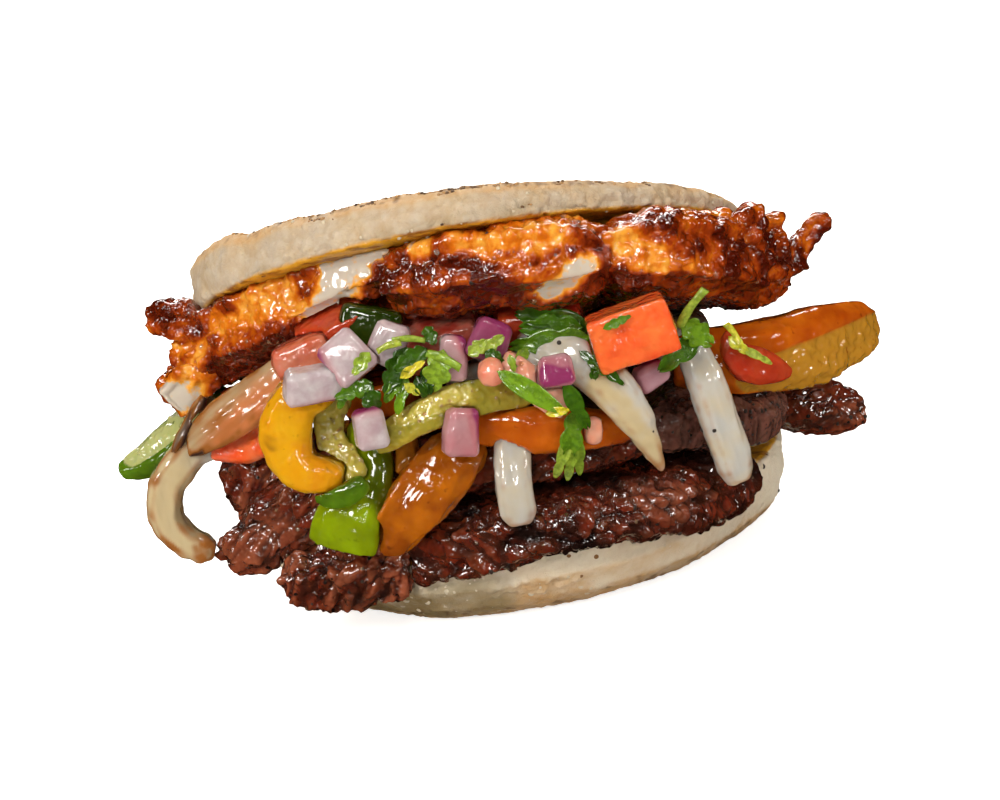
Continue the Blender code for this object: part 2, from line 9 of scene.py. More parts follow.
import bmesh
import bpy
import numpy as np
from mathutils import Matrix, Vector
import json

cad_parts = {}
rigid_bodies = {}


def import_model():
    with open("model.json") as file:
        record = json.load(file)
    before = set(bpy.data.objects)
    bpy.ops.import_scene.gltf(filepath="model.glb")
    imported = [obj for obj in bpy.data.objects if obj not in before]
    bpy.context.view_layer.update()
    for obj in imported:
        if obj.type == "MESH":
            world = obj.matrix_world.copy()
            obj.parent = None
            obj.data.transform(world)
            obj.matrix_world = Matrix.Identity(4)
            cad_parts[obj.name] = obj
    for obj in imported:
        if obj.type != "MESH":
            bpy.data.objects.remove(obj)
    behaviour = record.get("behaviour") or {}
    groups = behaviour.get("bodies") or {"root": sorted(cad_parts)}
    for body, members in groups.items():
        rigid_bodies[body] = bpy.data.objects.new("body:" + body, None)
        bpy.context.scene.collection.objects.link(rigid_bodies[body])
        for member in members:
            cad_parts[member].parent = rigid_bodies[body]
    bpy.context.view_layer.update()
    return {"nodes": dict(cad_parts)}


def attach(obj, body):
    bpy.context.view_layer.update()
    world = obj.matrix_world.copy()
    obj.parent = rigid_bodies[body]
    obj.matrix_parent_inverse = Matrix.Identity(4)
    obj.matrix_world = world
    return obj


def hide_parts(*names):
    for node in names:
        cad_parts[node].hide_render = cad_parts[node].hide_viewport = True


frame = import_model()

# --- table, camera and lamps -----------------------------------------------------------------------
# A pale table under one strong square lamp from the upper left, which gives every wet skin its
# bright window, with weaker lamps to the right, above and behind. The camera is level with the
# filling and turned a little, so the arepa leans to the left.

MM = 0.001
AIM = Vector((-2, -10, 34))
CAMERA_DISTANCE = 400
CAMERA_RISE = math.radians(14)
CAMERA_ROLL = math.radians(-11)
TABLE_FRONT = -3000
TABLE_BACK = 2600
SWEEP_RADIUS = 1500

scene = bpy.context.scene
scene.view_settings.view_transform = "Standard"

sight = Vector((0, math.cos(CAMERA_RISE), -math.sin(CAMERA_RISE)))
level = Vector((1, 0, 0))
upright = level.cross(sight)
camera = bpy.data.objects.new("camera", bpy.data.cameras.new("camera"))
scene.collection.objects.link(camera)
turned = Matrix((level, upright, -sight)).transposed().to_4x4() @ Matrix.Rotation(CAMERA_ROLL, 4, "Z")
camera.matrix_world = Matrix.Translation((AIM - sight * CAMERA_DISTANCE) * MM) @ turned
camera.data.lens = 69.2
camera.data.clip_start = 0.01
scene.camera = camera

scene.world = bpy.data.worlds.new("studio")
scene.world.use_nodes = True
sky = scene.world.node_tree
sky.nodes["Background"].inputs["Color"].default_value = (1.0, 0.985, 0.96, 1)
seen = sky.nodes.new("ShaderNodeMapRange")
seen.inputs["To Min"].default_value = 0.24
seen.inputs["To Max"].default_value = 1.0
sky.links.new(sky.nodes.new("ShaderNodeLightPath").outputs["Is Camera Ray"], seen.inputs["Value"])
sky.links.new(seen.outputs["Result"], sky.nodes["Background"].inputs["Strength"])
scene.world.cycles_visibility.glossy = False


def lamp(name, place, width, height, watts, colour, towards=AIM):
    """A rectangular lamp, `place` millimetres from what it is turned towards."""
    light = bpy.data.lights.new(name, "AREA")
    light.shape = "RECTANGLE"
    light.size = width * MM
    light.size_y = height * MM
    light.energy = watts
    light.color = colour
    made = bpy.data.objects.new(name, light)
    scene.collection.objects.link(made)
    made.location = (towards + Vector(place)) * MM
    made.rotation_euler = Vector(place).to_track_quat("Z", "Y").to_euler()
    return made


# The broad lamps light the colours alone; the windows also stand as bright panes in every wet skin.
for name, place, width, height, watts in [
    ("lamp_right", (620, -700, 300), 200, 260, 0.8),
    ("lamp_behind", (300, 800, 420), 400, 200, 1.1),
]:
    lamp(name, place, width, height, watts, (1.0, 0.97, 0.93)).visible_glossy = False
for name, place, width, height, watts in [
    ("window_left", (-420, -700, 560), 230, 270, 4.9),
    ("window_side", (-780, -450, 300), 110, 110, 0.8),
    ("window_middle", (-60, -900, 300), 100, 100, 0.8),
    ("window_above", (40, -420, 880), 150, 150, 1.5),
    ("window_high_right", (380, -640, 660), 110, 110, 0.9),
    ("window_right", (700, -580, 260), 120, 120, 1.1),
    ("window_behind", (-200, 800, 520), 110, 110, 0.8),
]:
    lamp(name, place, width, height, watts, (1.0, 0.98, 0.95))
lamp("lamp_backdrop", (0, -600, 2200), 3000, 1200, 130, (1.0, 0.98, 0.96), Vector((0, TABLE_BACK, 0)))


def fresh(name, **plain):
    """A new material, with plain values on its shader's own sockets. Gives the material, its tree and shader."""
    made = bpy.data.materials.new(name)
    made.use_nodes = True
    shader = made.node_tree.nodes["Principled BSDF"]
    for socket, value in plain.items():
        shader.inputs[socket.replace("_", " ")].default_value = value
    return made, made.node_tree, shader


sweep = [(TABLE_FRONT, 0), (TABLE_BACK, 0)]
for turn in np.linspace(0, math.pi / 2, 17):
    sweep.append((TABLE_BACK + SWEEP_RADIUS * math.sin(turn), SWEEP_RADIUS * (1 - math.cos(turn))))
sweep.append((TABLE_BACK + SWEEP_RADIUS, 3 * SWEEP_RADIUS))
table_points = [(side * 4, y * MM, z * MM) for y, z in sweep for side in (-1, 1)]
table_faces = [(2 * row, 2 * row + 1, 2 * row + 3, 2 * row + 2) for row in range(len(sweep) - 1)]
table = bpy.data.objects.new("table", bpy.data.meshes.new("table"))
table.data.from_pydata(table_points, [], table_faces)
table.data.shade_smooth()
table.visible_glossy = False
scene.collection.objects.link(table)
white, tree, shader = fresh("table_white", Base_Color=(0.86, 0.85, 0.84, 1), Roughness=0.6)
shader.inputs["Emission Color"].default_value = (1.0, 0.99, 0.975, 1)
lit = tree.nodes.new("ShaderNodeMath")
lit.operation = "MULTIPLY"
lit.inputs[1].default_value = 0.8
tree.links.new(tree.nodes.new("ShaderNodeLightPath").outputs["Is Camera Ray"], lit.inputs[0])
tree.links.new(lit.outputs[0], shader.inputs["Emission Strength"])
table.data.materials.append(white)

# --- corn halves -----------------------------------------------------------------------------------
# Two halves of one split corn cake, of damp white maize dough baked on a griddle. Their skin is dry
# and pale with toasted edges, small pits and dark specks; the cut edge is crumbly, and the cut face
# over the filling is soaked golden.

CREAM = (0.44, 0.335, 0.23)
CORN_TAN = (0.45, 0.30, 0.15)
CORN_DAMP = (0.19, 0.14, 0.055)
CORN_PAINTED_LIGHT = (0.70, 0.60, 0.44)
TOASTED = (0.50, 0.27, 0.085)
SCORCHED = (0.085, 0.035, 0.014)
SOAKED = (0.62, 0.29, 0.015)
OILY = (0.26, 0.09, 0.006)
TOP_TILT = math.radians(21)


def chance(cell, seed):
    """A random number from 0 to 1 for each row of whole numbers, the same in every run."""
    mixed = (cell @ np.array([73856093, 19349663, 83492791]) + seed * 40503) & 0xFFFFFFFF
    mixed = ((mixed ^ (mixed >> 15)) * 739982445) & 0xFFFFFFFF
    mixed = ((mixed ^ (mixed >> 12)) * 695872825) & 0xFFFFFFFF
    return ((mixed ^ (mixed >> 15)) & 0xFFFFFF) / 0xFFFFFF


def swells(points, size, seed, layers=1):
    """Soft random relief from -1 to 1: `size` is one swell, and each further layer is half that size."""
    total = np.zeros(len(points))
    reach = 0.0
    for layer in range(layers):
        place = points / size * 2**layer + 17.3 * seed
        corner = np.floor(place).astype(np.int64)
        share = place - corner
        share = share * share * (3 - 2 * share)
        value = np.zeros(len(points))
        for step in np.ndindex(2, 2, 2):
            weight = np.where(step, share, 1 - share).prod(axis=1)
            value += weight * chance(corner + np.array(step), seed + layer)
        total += (2 * value - 1) / 2**layer
        reach += 1 / 2**layer
    return total / reach


def pebbles(points, size, seed):
    """For a scatter of pebbles `size` apart: how far each point is from the nearest, in pebble sizes,
    how much nearer that is than the next, and a random number for that pebble."""
    place = points / size
    home = np.floor(place).astype(np.int64)
    nearest = np.full(len(points), 9.0)
    second = nearest.copy()
    chosen = np.zeros(len(points))
    for step in np.ndindex(3, 3, 3):
        cell = home + np.array(step) - 1
        centre = cell + np.stack([chance(cell, seed + axis) for axis in range(3)], axis=1)
        away = np.linalg.norm(place - centre, axis=1)
        closer = away < nearest
        second = np.where(closer, nearest, np.minimum(second, away))
        nearest = np.where(closer, away, nearest)
        chosen = np.where(closer, chance(cell, seed + 5), chosen)
    return nearest, second - nearest, chosen


def rise(value, low, high):
    """0 below `low`, 1 above `high` and a smooth slope between them."""
    share = np.clip((value - low) / (high - low), 0, 1)
    return share * share * (3 - 2 * share)


def near(points, patches):
    """1 on the line between a patch's two ends and 0 beyond its reach. The nearest patch counts."""
    best = np.zeros(len(points))
    for start, end, reach in patches:
        start = np.array(start, float)
        way = np.array(end, float) - start
        share = np.clip((points - start) @ way / max(way @ way, 1e-9), 0, 1)
        away = np.linalg.norm(points - start - share[:, None] * way, axis=1)
        best = np.maximum(best, 1 - rise(away, 0.45 * reach, reach))
    return best


def fine_copy(node, name, square, rounding):
    """A finer copy of a frame solid, remeshed in even squares and with its facets rounded off."""
    piece = bpy.data.objects.new(name, frame["nodes"][node].data.copy())
    scene.collection.objects.link(piece)
    remesh = piece.modifiers.new("even squares", "REMESH")
    remesh.mode = "VOXEL"
    remesh.voxel_size = square * MM
    soften = piece.modifiers.new("rounding", "SMOOTH")
    soften.factor = 0.5
    soften.iterations = rounding
    graph = bpy.context.evaluated_depsgraph_get()
    finer = bpy.data.meshes.new_from_object(piece.evaluated_get(graph))
    piece.modifiers.clear()
    piece.data = finer
    piece.data.materials.clear()
    piece.data.shade_smooth()
    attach(piece, "root")
    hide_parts(node)
    return piece


def surface(piece):
    """The piece's points, in millimetres, and the ways that they face."""
    count = len(piece.data.vertices)
    points = np.empty(count * 3, np.float32)
    piece.data.vertices.foreach_get("co", points)
    facing = np.empty(count * 3, np.float32)
    piece.data.vertex_normals.foreach_get("vector", facing)
    return points.reshape(-1, 3).astype(float) / MM, facing.reshape(-1, 3).astype(float)


def raise_skin(piece, points, facing, height):
    """Moves each point out along its facing by a height in millimetres."""
    moved = (points + facing * np.reshape(height, (-1, 1))) * MM
    piece.data.vertices.foreach_set("co", moved.astype(np.float32).ravel())
    piece.data.update()


def paint(piece, **masks):
    """Keeps each mask, a number from 0 to 1 at every point, for the piece's material."""
    for name, values in masks.items():
        layer = piece.data.attributes.new(name, "FLOAT", "POINT")
        layer.data.foreach_set("value", np.clip(values, 0, 1).astype(np.float32))


def wire(tree, value, socket):
    """Links an output to a socket, or sets the socket where the value is plain."""
    if isinstance(value, bpy.types.NodeSocket):
        tree.links.new(value, socket)
    elif isinstance(value, tuple) and len(value) == 3 and socket.type == "RGBA":
        socket.default_value = (*value, 1)
    else:
        socket.default_value = value


def mask(tree, name):
    """The numbers that paint() kept under this name."""
    made = tree.nodes.new("ShaderNodeAttribute")
    made.attribute_name = name
    return made.outputs["Fac"]


def mix(tree, factor, first, second, way="MIX"):
    made = tree.nodes.new("ShaderNodeMix")
    made.data_type = "RGBA"
    made.blend_type = way
    wire(tree, factor, made.inputs[0])
    wire(tree, first, made.inputs[6])
    wire(tree, second, made.inputs[7])
    return made.outputs[2]


def sum_of(tree, first, second, way="ADD"):
    made = tree.nodes.new("ShaderNodeMath")
    made.operation = way
    wire(tree, first, made.inputs[0])
    wire(tree, second, made.inputs[1])
    return made.outputs[0]


def steps(tree, factor, *stops):
    """A colour ramp through (position, colour) stops."""
    made = tree.nodes.new("ShaderNodeValToRGB")
    wire(tree, factor, made.inputs[0])
    band = made.color_ramp.elements
    for index, (position, colour) in enumerate(stops):
        stop = band[index] if index < 2 else band.new(position)
        stop.position = position
        stop.color = (*colour, 1)
    return made.outputs["Color"]


def grain(tree, size, detail=2.0, roughness=0.55, stretch=(1, 1, 1)):
    """Soft noise from 0 to 1 whose grains are `size` millimetres, longer along an axis by its stretch."""
    place = tree.nodes.new("ShaderNodeTexCoord")
    scaled = tree.nodes.new("ShaderNodeMapping")
    scaled.inputs["Scale"].default_value = [1 / size / MM / part for part in stretch]
    tree.links.new(place.outputs["Object"], scaled.inputs["Vector"])
    noise = tree.nodes.new("ShaderNodeTexNoise")
    noise.inputs["Scale"].default_value = 1.0
    noise.inputs["Detail"].default_value = detail
    noise.inputs["Roughness"].default_value = roughness
    tree.links.new(scaled.outputs["Vector"], noise.inputs["Vector"])
    return noise.outputs["Fac"]


def group(name, inputs, outputs):
    """An empty node group with named number sockets. Gives the group, its input and its output node."""
    made = bpy.data.node_groups.new(name, "ShaderNodeTree")
    for label, value in inputs.items():
        socket = made.interface.new_socket(label, in_out="INPUT", socket_type="NodeSocketFloat")
        socket.default_value = value
    for label in outputs:
        made.interface.new_socket(label, in_out="OUTPUT", socket_type="NodeSocketFloat")
    return made, made.nodes.new("NodeGroupInput"), made.nodes.new("NodeGroupOutput")


def placed(tree, shared, **values):
    """A group node in a material's tree, with its own values."""
    made = tree.nodes.new("ShaderNodeGroup")
    made.node_tree = shared
    for name, value in values.items():
        wire(tree, value, made.inputs[name])
    return made


def sized_noise(tree, size, detail):
    """Noise inside a group, whose grain size in millimetres comes from a socket."""
    place = tree.nodes.new("ShaderNodeTexCoord")
    per_metre = sum_of(tree, 1 / MM, size, "DIVIDE")
    noise = tree.nodes.new("ShaderNodeTexNoise")
    noise.inputs["Detail"].default_value = detail
    tree.links.new(place.outputs["Object"], noise.inputs["Vector"])
    tree.links.new(per_metre, noise.inputs["Scale"])
    return noise.outputs["Fac"]


def bump(tree, shader, height, depth, strength=1.0):
    """Fine relief in a shader, `depth` millimetres deep."""
    made = tree.nodes.new("ShaderNodeBump")
    made.inputs["Strength"].default_value = strength
    made.inputs["Distance"].default_value = depth * MM
    wire(tree, height, made.inputs["Height"])
    tree.links.new(made.outputs["Normal"], shader.inputs["Normal"])


# Specks: small dark dots whose size and share of the surface are given.
specks, specks_in, specks_out = group("Specks", {"Size": 1.2, "Share": 0.3}, ["Mask"])
spread = specks.nodes.new("ShaderNodeTexVoronoi")
specks.links.new(specks.nodes.new("ShaderNodeTexCoord").outputs["Object"], spread.inputs["Vector"])
specks.links.new(sum_of(specks, 1 / MM, specks_in.outputs["Size"], "DIVIDE"), spread.inputs["Scale"])
small = sum_of(specks, spread.outputs["Distance"], 0.28, "LESS_THAN")
picked = specks.nodes.new("ShaderNodeSeparateColor")
specks.links.new(spread.outputs["Color"], picked.inputs["Color"])
few = sum_of(specks, picked.outputs[0], specks_in.outputs["Share"], "LESS_THAN")
specks.links.new(sum_of(specks, small, few, "MULTIPLY"), specks_out.inputs["Mask"])

# Crumb: the fine open grain of dough, as a height.
crumb, crumb_in, crumb_out = group("Crumb", {"Size": 0.8}, ["Height"])
coarse_crumb = sized_noise(crumb, crumb_in.outputs["Size"], 4.0)
fine_crumb = sized_noise(crumb, sum_of(crumb, crumb_in.outputs["Size"], 0.35, "MULTIPLY"), 2.0)
crumb.links.new(
    sum_of(crumb, coarse_crumb, sum_of(crumb, fine_crumb, 0.5, "MULTIPLY")), crumb_out.inputs["Height"]
)

corn_skin, tree, shader = fresh(
    "corn_skin",
    Roughness=0.52,
    Subsurface_Weight=0.18,
    Subsurface_Radius=(1.0, 0.7, 0.4),
    Subsurface_Scale=1.4 * MM,
    Specular_IOR_Level=0.2,
)
dough = mix(tree, steps(tree, grain(tree, 9, 3), (0.38, (0, 0, 0)), (0.66, (1, 1, 1))), CREAM, CORN_TAN)
dough = mix(tree, steps(tree, grain(tree, 2.2, 3), (0.45, (0, 0, 0)), (0.75, (0.5, 0.5, 0.5))), dough, CORN_TAN)
# painted light: the `pale` mask lightens the dough, standing in for light thrown up from the table
dough = mix(tree, mask(tree, "pale"), dough, CORN_PAINTED_LIGHT)
dough = mix(tree, mask(tree, "toast"), dough, TOASTED)
dough = mix(tree, sum_of(tree, mask(tree, "grains"), 0.35, "MULTIPLY"), dough, (0.80, 0.74, 0.60))
streaks = steps(tree, grain(tree, 3.0, 3, 0.6, (3, 1, 1)), (0.5, (0, 0, 0)), (0.62, (1, 1, 1)))
dough = mix(tree, mask(tree, "soaked"), dough, mix(tree, streaks, SOAKED, OILY))
dough = mix(tree, mask(tree, "damp"), dough, CORN_DAMP)
dough = mix(tree, mask(tree, "scorch"), dough, SCORCHED)
dough = mix(tree, placed(tree, specks, Size=1.7, Share=0.015).outputs["Mask"], dough, (0.20, 0.09, 0.03))
tree.links.new(dough, shader.inputs["Base Color"])
tree.links.new(sum_of(tree, mask(tree, "soaked"), 0.4, "MULTIPLY"), shader.inputs["Coat Weight"])
bump(tree, shader, placed(tree, crumb, Size=0.8).outputs["Height"], 0.3)


def bake(node, name, axis, seed, pale=0.0, blocky=(), damp=(), crumbly=()):
    """One half with its crumbly relief. `axis` points out of its flat baked face, and `pale` is how much
    painted light lightens it. Its `blocky` patches stand out, `damp` ones are dark and `crumbly` ones show coarse
    grains."""
    piece = fine_copy(node, name, 0.5, 7)
    points, facing = surface(piece)
    outward = facing @ np.array(axis)
    along = points @ np.array(axis)
    from_cut = along - along[outward < -0.9].mean()
    side = rise(1 - np.abs(outward), 0.2, 0.6)
    shoulder = rise(outward, 0.15, 0.55) * (1 - rise(outward, 0.8, 0.97))
    torn = side * (1 - rise(from_cut, 0.5, 4.0))
    height = 0.9 * shoulder + 1.4 * near(points, blocky)
    height += 0.35 * swells(points, 9, seed) + 0.22 * swells(points, 3.2, seed + 1, 2)
    flake_away, flake_gap, flake_kind = pebbles(points * (1, 1, 0.7), 3.0, seed + 2)
    height += torn * (1.5 * (flake_kind - 0.6) + 0.3 * swells(points, 1.5, seed + 3))
    pit_away, pit_gap, pit_kind = pebbles(points, 2.2, seed + 4)
    height -= np.where(pit_kind > 0.86, 0.5 * (1 - rise(pit_away, 0.1, 0.42)), 0)
    coarse = np.maximum(rise(swells(points, 12, seed + 5), 0.0, 0.5), torn) * side + 1.2 * near(points, crumbly)
    grain_away, grain_gap, grain_kind = pebbles(points, 1.5, seed + 6)
    height += (0.22 + 0.5 * coarse) * (0.5 - grain_away) * (0.4 + grain_kind)
    height += 0.16 * swells(points, 0.9, seed + 12)
    raise_skin(piece, points, facing, height)
    blotch = swells(points, 7, seed + 7, 3)
    edge = rise(outward + 0.08 * blotch, 0.40, 0.62) * (1 - rise(outward, 0.985, 0.999))
    brink = rise(outward, 0.55, 0.70) * (1 - rise(outward, 0.985, 0.999))
    flat = rise(outward, 0.9, 0.98)
    griddled = swells(points, 10, seed + 9, 4)
    toast = 0.95 * edge * rise(blotch, -0.9, -0.1) + 0.3 * side * rise(blotch, 0.15, 0.6)
    toast += flat * (0.2 + 0.8 * rise(griddled, -0.1, 0.4))
    scorch = flat * rise(griddled + 0.25 * swells(points, 2.5, seed + 13, 2), 0.28, 0.75) * 0.9
    scorch += brink * rise(swells(points, 1.5, seed + 10, 2), 0.1, 0.5) * 0.6
    soaked = 1 - rise(outward, -0.8, -0.45)
    paint(
        piece,
        toast=toast,
        scorch=scorch,
        soaked=soaked,
        damp=near(points, damp) * (0.8 + 0.5 * blotch) + 0.4 * torn * rise(blotch, 0.0, 0.5),
        grains=0.5 - 0.5 * grain_away + 0.4 * grain_kind,
        # painted light, with a soft random drift
        pale=pale + 0.25 * swells(points, 14, seed + 14, 2) * (pale > 0),
    )
    piece.data.materials.append(corn_skin)
    return piece


# The lower half is painted lighter all over, as painted light from the table below.
bake(
    "arepa_bottom",
    "corn_half_bottom",
    (0, 0, -1),
    11,
    0.75,
    damp=[((-40, -40, 6), (-13, -52, 6), 9)],
    crumbly=[((-8, -56, 6), (2, -56, 12), 8)],
)
bake(
    "arepa_top",
    "corn_half_top",
    (0, math.sin(TOP_TILT), math.cos(TOP_TILT)),
    23,
    0.0,
    [((-48, -34, 78), (-54, -22, 76), 8), ((-55, -28, 71), (-56, -24, 74), 5)],
)

# --- steak -----------------------------------------------------------------------------------------
# Grilled skirt steak in thick slices, glazed and charred. The long fibres show as ridges in the cut
# faces, and the high parts are burnt almost black. The hollows are painted nearly black, as painted shade.

MEAT_BROWN = (0.115, 0.022, 0.006)
MEAT_RED = (0.19, 0.020, 0.006)
MEAT_LEAN = (0.38, 0.098, 0.042)
MEAT_CHAR = (0.012, 0.005, 0.0035)
MEAT_GREY = (0.17, 0.095, 0.07)

# Wet: a thin uneven film, as a roughness and a height.
wet, wet_in, wet_out = group("Wet", {"Size": 2.0, "Dull": 0.3, "Shine": 0.1}, ["Roughness", "Height"])
film = sized_noise(wet, wet_in.outputs["Size"], 0.5)
spanned = sum_of(wet, wet_in.outputs["Dull"], wet_in.outputs["Shine"], "SUBTRACT")
wet.links.new(
    sum_of(wet, sum_of(wet, film, spanned, "MULTIPLY"), wet_in.outputs["Shine"]), wet_out.inputs["Roughness"]
)
wet.links.new(film, wet_out.inputs["Height"])

meat, tree, shader = fresh(
    "grilled_meat",
    Subsurface_Weight=0.08,
    Subsurface_Radius=(1.0, 0.35, 0.2),
    Subsurface_Scale=1.2 * MM,
    Coat_Roughness=0.05,
    Coat_IOR=1.85,
    Specular_IOR_Level=0.25,
)
flesh = mix(tree, steps(tree, grain(tree, 3.5, 4), (0.38, (0, 0, 0)), (0.62, (1, 1, 1))), MEAT_BROWN, MEAT_RED)
flesh = mix(tree, mask(tree, "lean"), flesh, MEAT_LEAN)
flesh = mix(tree, mask(tree, "grey"), flesh, MEAT_GREY)
# painted shade: the hollows between the fibres are darkened nearly to black
flesh = mix(tree, sum_of(tree, mask(tree, "hollow"), 0.8, "MULTIPLY"), flesh, (0.030, 0.009, 0.006))
flesh = mix(tree, sum_of(tree, grain(tree, 0.9, 3), 0.45, "MULTIPLY"), flesh, (0.05, 0.018, 0.011))
flesh = mix(tree, mask(tree, "char"), flesh, MEAT_CHAR)
flesh = mix(tree, placed(tree, specks, Size=1.6, Share=0.10).outputs["Mask"], flesh, (0.012, 0.008, 0.006))
tree.links.new(flesh, shader.inputs["Base Color"])
film = placed(tree, wet, Size=1.5, Dull=0.20, Shine=0.08)
tree.links.new(film.outputs["Roughness"], shader.inputs["Roughness"])
tree.links.new(mask(tree, "glaze"), shader.inputs["Coat Weight"])
bump(tree, shader, sum_of(tree, sum_of(tree, grain(tree, 0.9, 0), 0.5, "MULTIPLY"), film.outputs["Height"]), 1.1)


def grill(node, name, fibre, seed, lean=0.3, grey=0.0, char=0.5, red=((0, 0, 0), (0, 0, 0), 0.1), rough=1.0):
    """A slice of steak with fibres along `fibre`, a pink face round the `red` patch, and its share of char."""
    piece = fine_copy(node, name, 0.45, 5)
    points, facing = surface(piece)
    axis = np.array(fibre, float) / np.linalg.norm(fibre)
    bent = points + 2.2 * np.stack([swells(points, 11, seed + k) for k in range(3)], axis=1)
    squeezed = bent - np.outer(bent @ axis, axis) * 0.84
    bundle_away, bundle_gap, bundle_kind = pebbles(squeezed + 0.5 * swells(points, 3, seed)[:, None], 3.0, seed + 3)
    strands = rise(bundle_gap, 0.0, 0.3) * 1.3 + 1.6 * (bundle_kind - 0.5) - 0.9
    threads = 1 - np.abs(swells(squeezed, 1.25, seed + 13, 2)) * 2.4
    lumps = swells(points, 6.5, seed + 4, 2)
    clefts = 1 - rise(np.abs(swells(bent, 12, seed + 5, 2)), 0.0, 0.10)
    height = 0.42 * strands + 0.22 * threads + 1.2 * lumps - 1.2 * clefts
    height += 0.62 * swells(points, 2.0, seed + 6, 3) + 0.28 * swells(points, 1.1, seed + 16)
    raise_skin(piece, points, facing, height * rough - 0.1)
    burnt = rise(0.55 * lumps + 0.5 * swells(points, 8, seed + 7, 3) + 0.7 * (char - 0.5), -0.05, 0.4)
    pale = rise(0.35 * strands + 0.5 * threads + 0.8 * swells(points, 5, seed + 8, 2), 0.6 - 0.8 * lean, 1.3 - 0.6 * lean)
    pink = near(points, [red])
    paint(
        piece,
        # painted shade in the hollows between strands and threads
        hollow=rise(-0.5 * strands - 0.5 * threads, -0.35, 0.5),
        char=(0.9 * burnt + 0.6 * clefts) * (1 - 0.8 * pink) * (0.35 if grey else 1.0),
        lean=pale * (0.35 + lean) + 0.6 * pink,
        grey=np.full(len(points), grey),
        glaze=(0.45 + 0.55 * rise(swells(points, 5, seed + 9, 2), -0.4, 0.2)) * (0.4 if grey else 1.0),
    )
    piece.data.materials.append(meat)
    return piece


grill("steak_lower", "steak_slice_lower", (0.6, -0.35, -0.7), 31, 0.15, 0.0, 0.62, ((22, -57, 22), (27, -56, 20), 6))
grill("steak_lower_left", "steak_chunk_front_left", (0.5, -0.5, 0.7), 32, 0.8, 0.0, 0.2)
grill("steak_upper", "steak_slice_upper", (0.8, -0.3, 0.2), 33, 0.1, 0.0, 0.6)
grill("steak_right_block", "steak_block_peppered", (0.2, -0.3, 0.9), 34, 0.2, 0.6, 0.4, rough=0.5)
grill("steak_right_end", "steak_end_right", (0.9, -0.3, 0.1), 35, 0.3, 0.0, 0.36, ((68, -22, 21), (71, -20, 18), 4), 0.6)
grill("steak_left_top", "steak_end_left_top", (0.4, -0.3, 0.8), 36, 0.5, 0.0, 0.34)
grill("steak_left_low", "steak_end_left_low", (0.7, -0.3, 0.6), 37, 0.5, 0.0, 0.36, ((-50, -42, 25), (-58, -37, 20), 6))

# --- fried cheese ----------------------------------------------------------------------------------
# Slabs of white frying cheese, browned until the crust blisters: mahogany at the edges, caramel over
# most of it, golden where the crust is thin, and white where a slab was torn and pulled apart.

CHEESE_WHITE = (0.56, 0.48, 0.38)
CHEESE_GOLD = (0.82, 0.365, 0.04)
CHEESE_AMBER = (0.62, 0.142, 0.004)
CHEESE_CARAMEL = (0.31, 0.036, 0.002)
CHEESE_MAHOGANY = (0.075, 0.006, 0.001)
GOLDEN_PATCHES = [
    ((-50, -36.5, 65.5), (-36, -44, 70.5), 2.4),
    ((-47, -38.5, 68.8), (-38, -43, 72), 2.4),
    ((-44, -40, 67), (-36, -44.5, 68), 3.2),
    ((-13, -53, 77), (-10, -54, 76), 3),
    ((-4, -57.5, 75.8), (0, -58.5, 74.5), 3),
    ((5, -59, 75.5), (12, -58.5, 74), 4.5),
    ((25, -58, 71.5), (27, -58, 68), 4.0),
    ((30, -58, 66), (31, -57, 63.5), 3.5),
    ((-58, -33, 60), (-60, -32, 55), 3),
]
BURNT_PATCHES = [
    ((-63, -28, 68.5), (-58, -31, 66), 4),
    ((-54, -33, 55), (-40, -42, 61.5), 5.5),
    ((-20, -50, 71), (-8, -57, 71), 5),
    ((-8, -57, 71), (0, -60.5, 68), 5),
    ((20.5, -58, 73), (22, -58, 64), 3),
    ((44, -49, 68), (46, -46, 58), 6),
    ((52, -43, 60), (58, -34, 58), 7),
]
WHITE_PATCHES = [
    ((-17, -51, 78.5), (-27, -48, 73.5), 3.6),
    ((-24, -49, 74), (-30, -47, 67), 5.2),
    ((-27, -47, 70), (-34, -46, 65.5), 3.6),
    ((17.5, -61, 68.0), (10, -59, 63.5), 3.6),
    ((-66, -31.5, 53), (-61.5, -32.2, 51.0), 4.6),
]

browned, tree, shader = fresh(
    "browned_cheese",
    Subsurface_Weight=0.08,
    Subsurface_Radius=(1.0, 0.38, 0.12),
    Subsurface_Scale=1.0 * MM,
    Coat_Weight=1.0,
    Coat_Roughness=0.05,
    Coat_IOR=1.62,
    Specular_IOR_Level=0.25,
)
tone = sum_of(tree, sum_of(tree, grain(tree, 1.4, 3), 0.5, "SUBTRACT"), 0.4, "MULTIPLY")
tone = sum_of(tree, mask(tree, "browning"), tone)
crust = steps(
    tree,
    tone,
    (0.05, CHEESE_WHITE),
    (0.15, CHEESE_GOLD),
    (0.32, CHEESE_AMBER),
    (0.62, CHEESE_CARAMEL),
    (0.90, CHEESE_MAHOGANY),
)
tree.links.new(crust, shader.inputs["Base Color"])
film = placed(tree, wet, Size=1.3, Dull=0.20, Shine=0.08)
tree.links.new(film.outputs["Roughness"], shader.inputs["Roughness"])
roughened = sum_of(tree, sum_of(tree, grain(tree, 0.8, 0), 0.5, "MULTIPLY"), film.outputs["Height"])
bump(tree, shader, sum_of(tree, roughened, mask(tree, "browning"), "MULTIPLY"), 1.2)


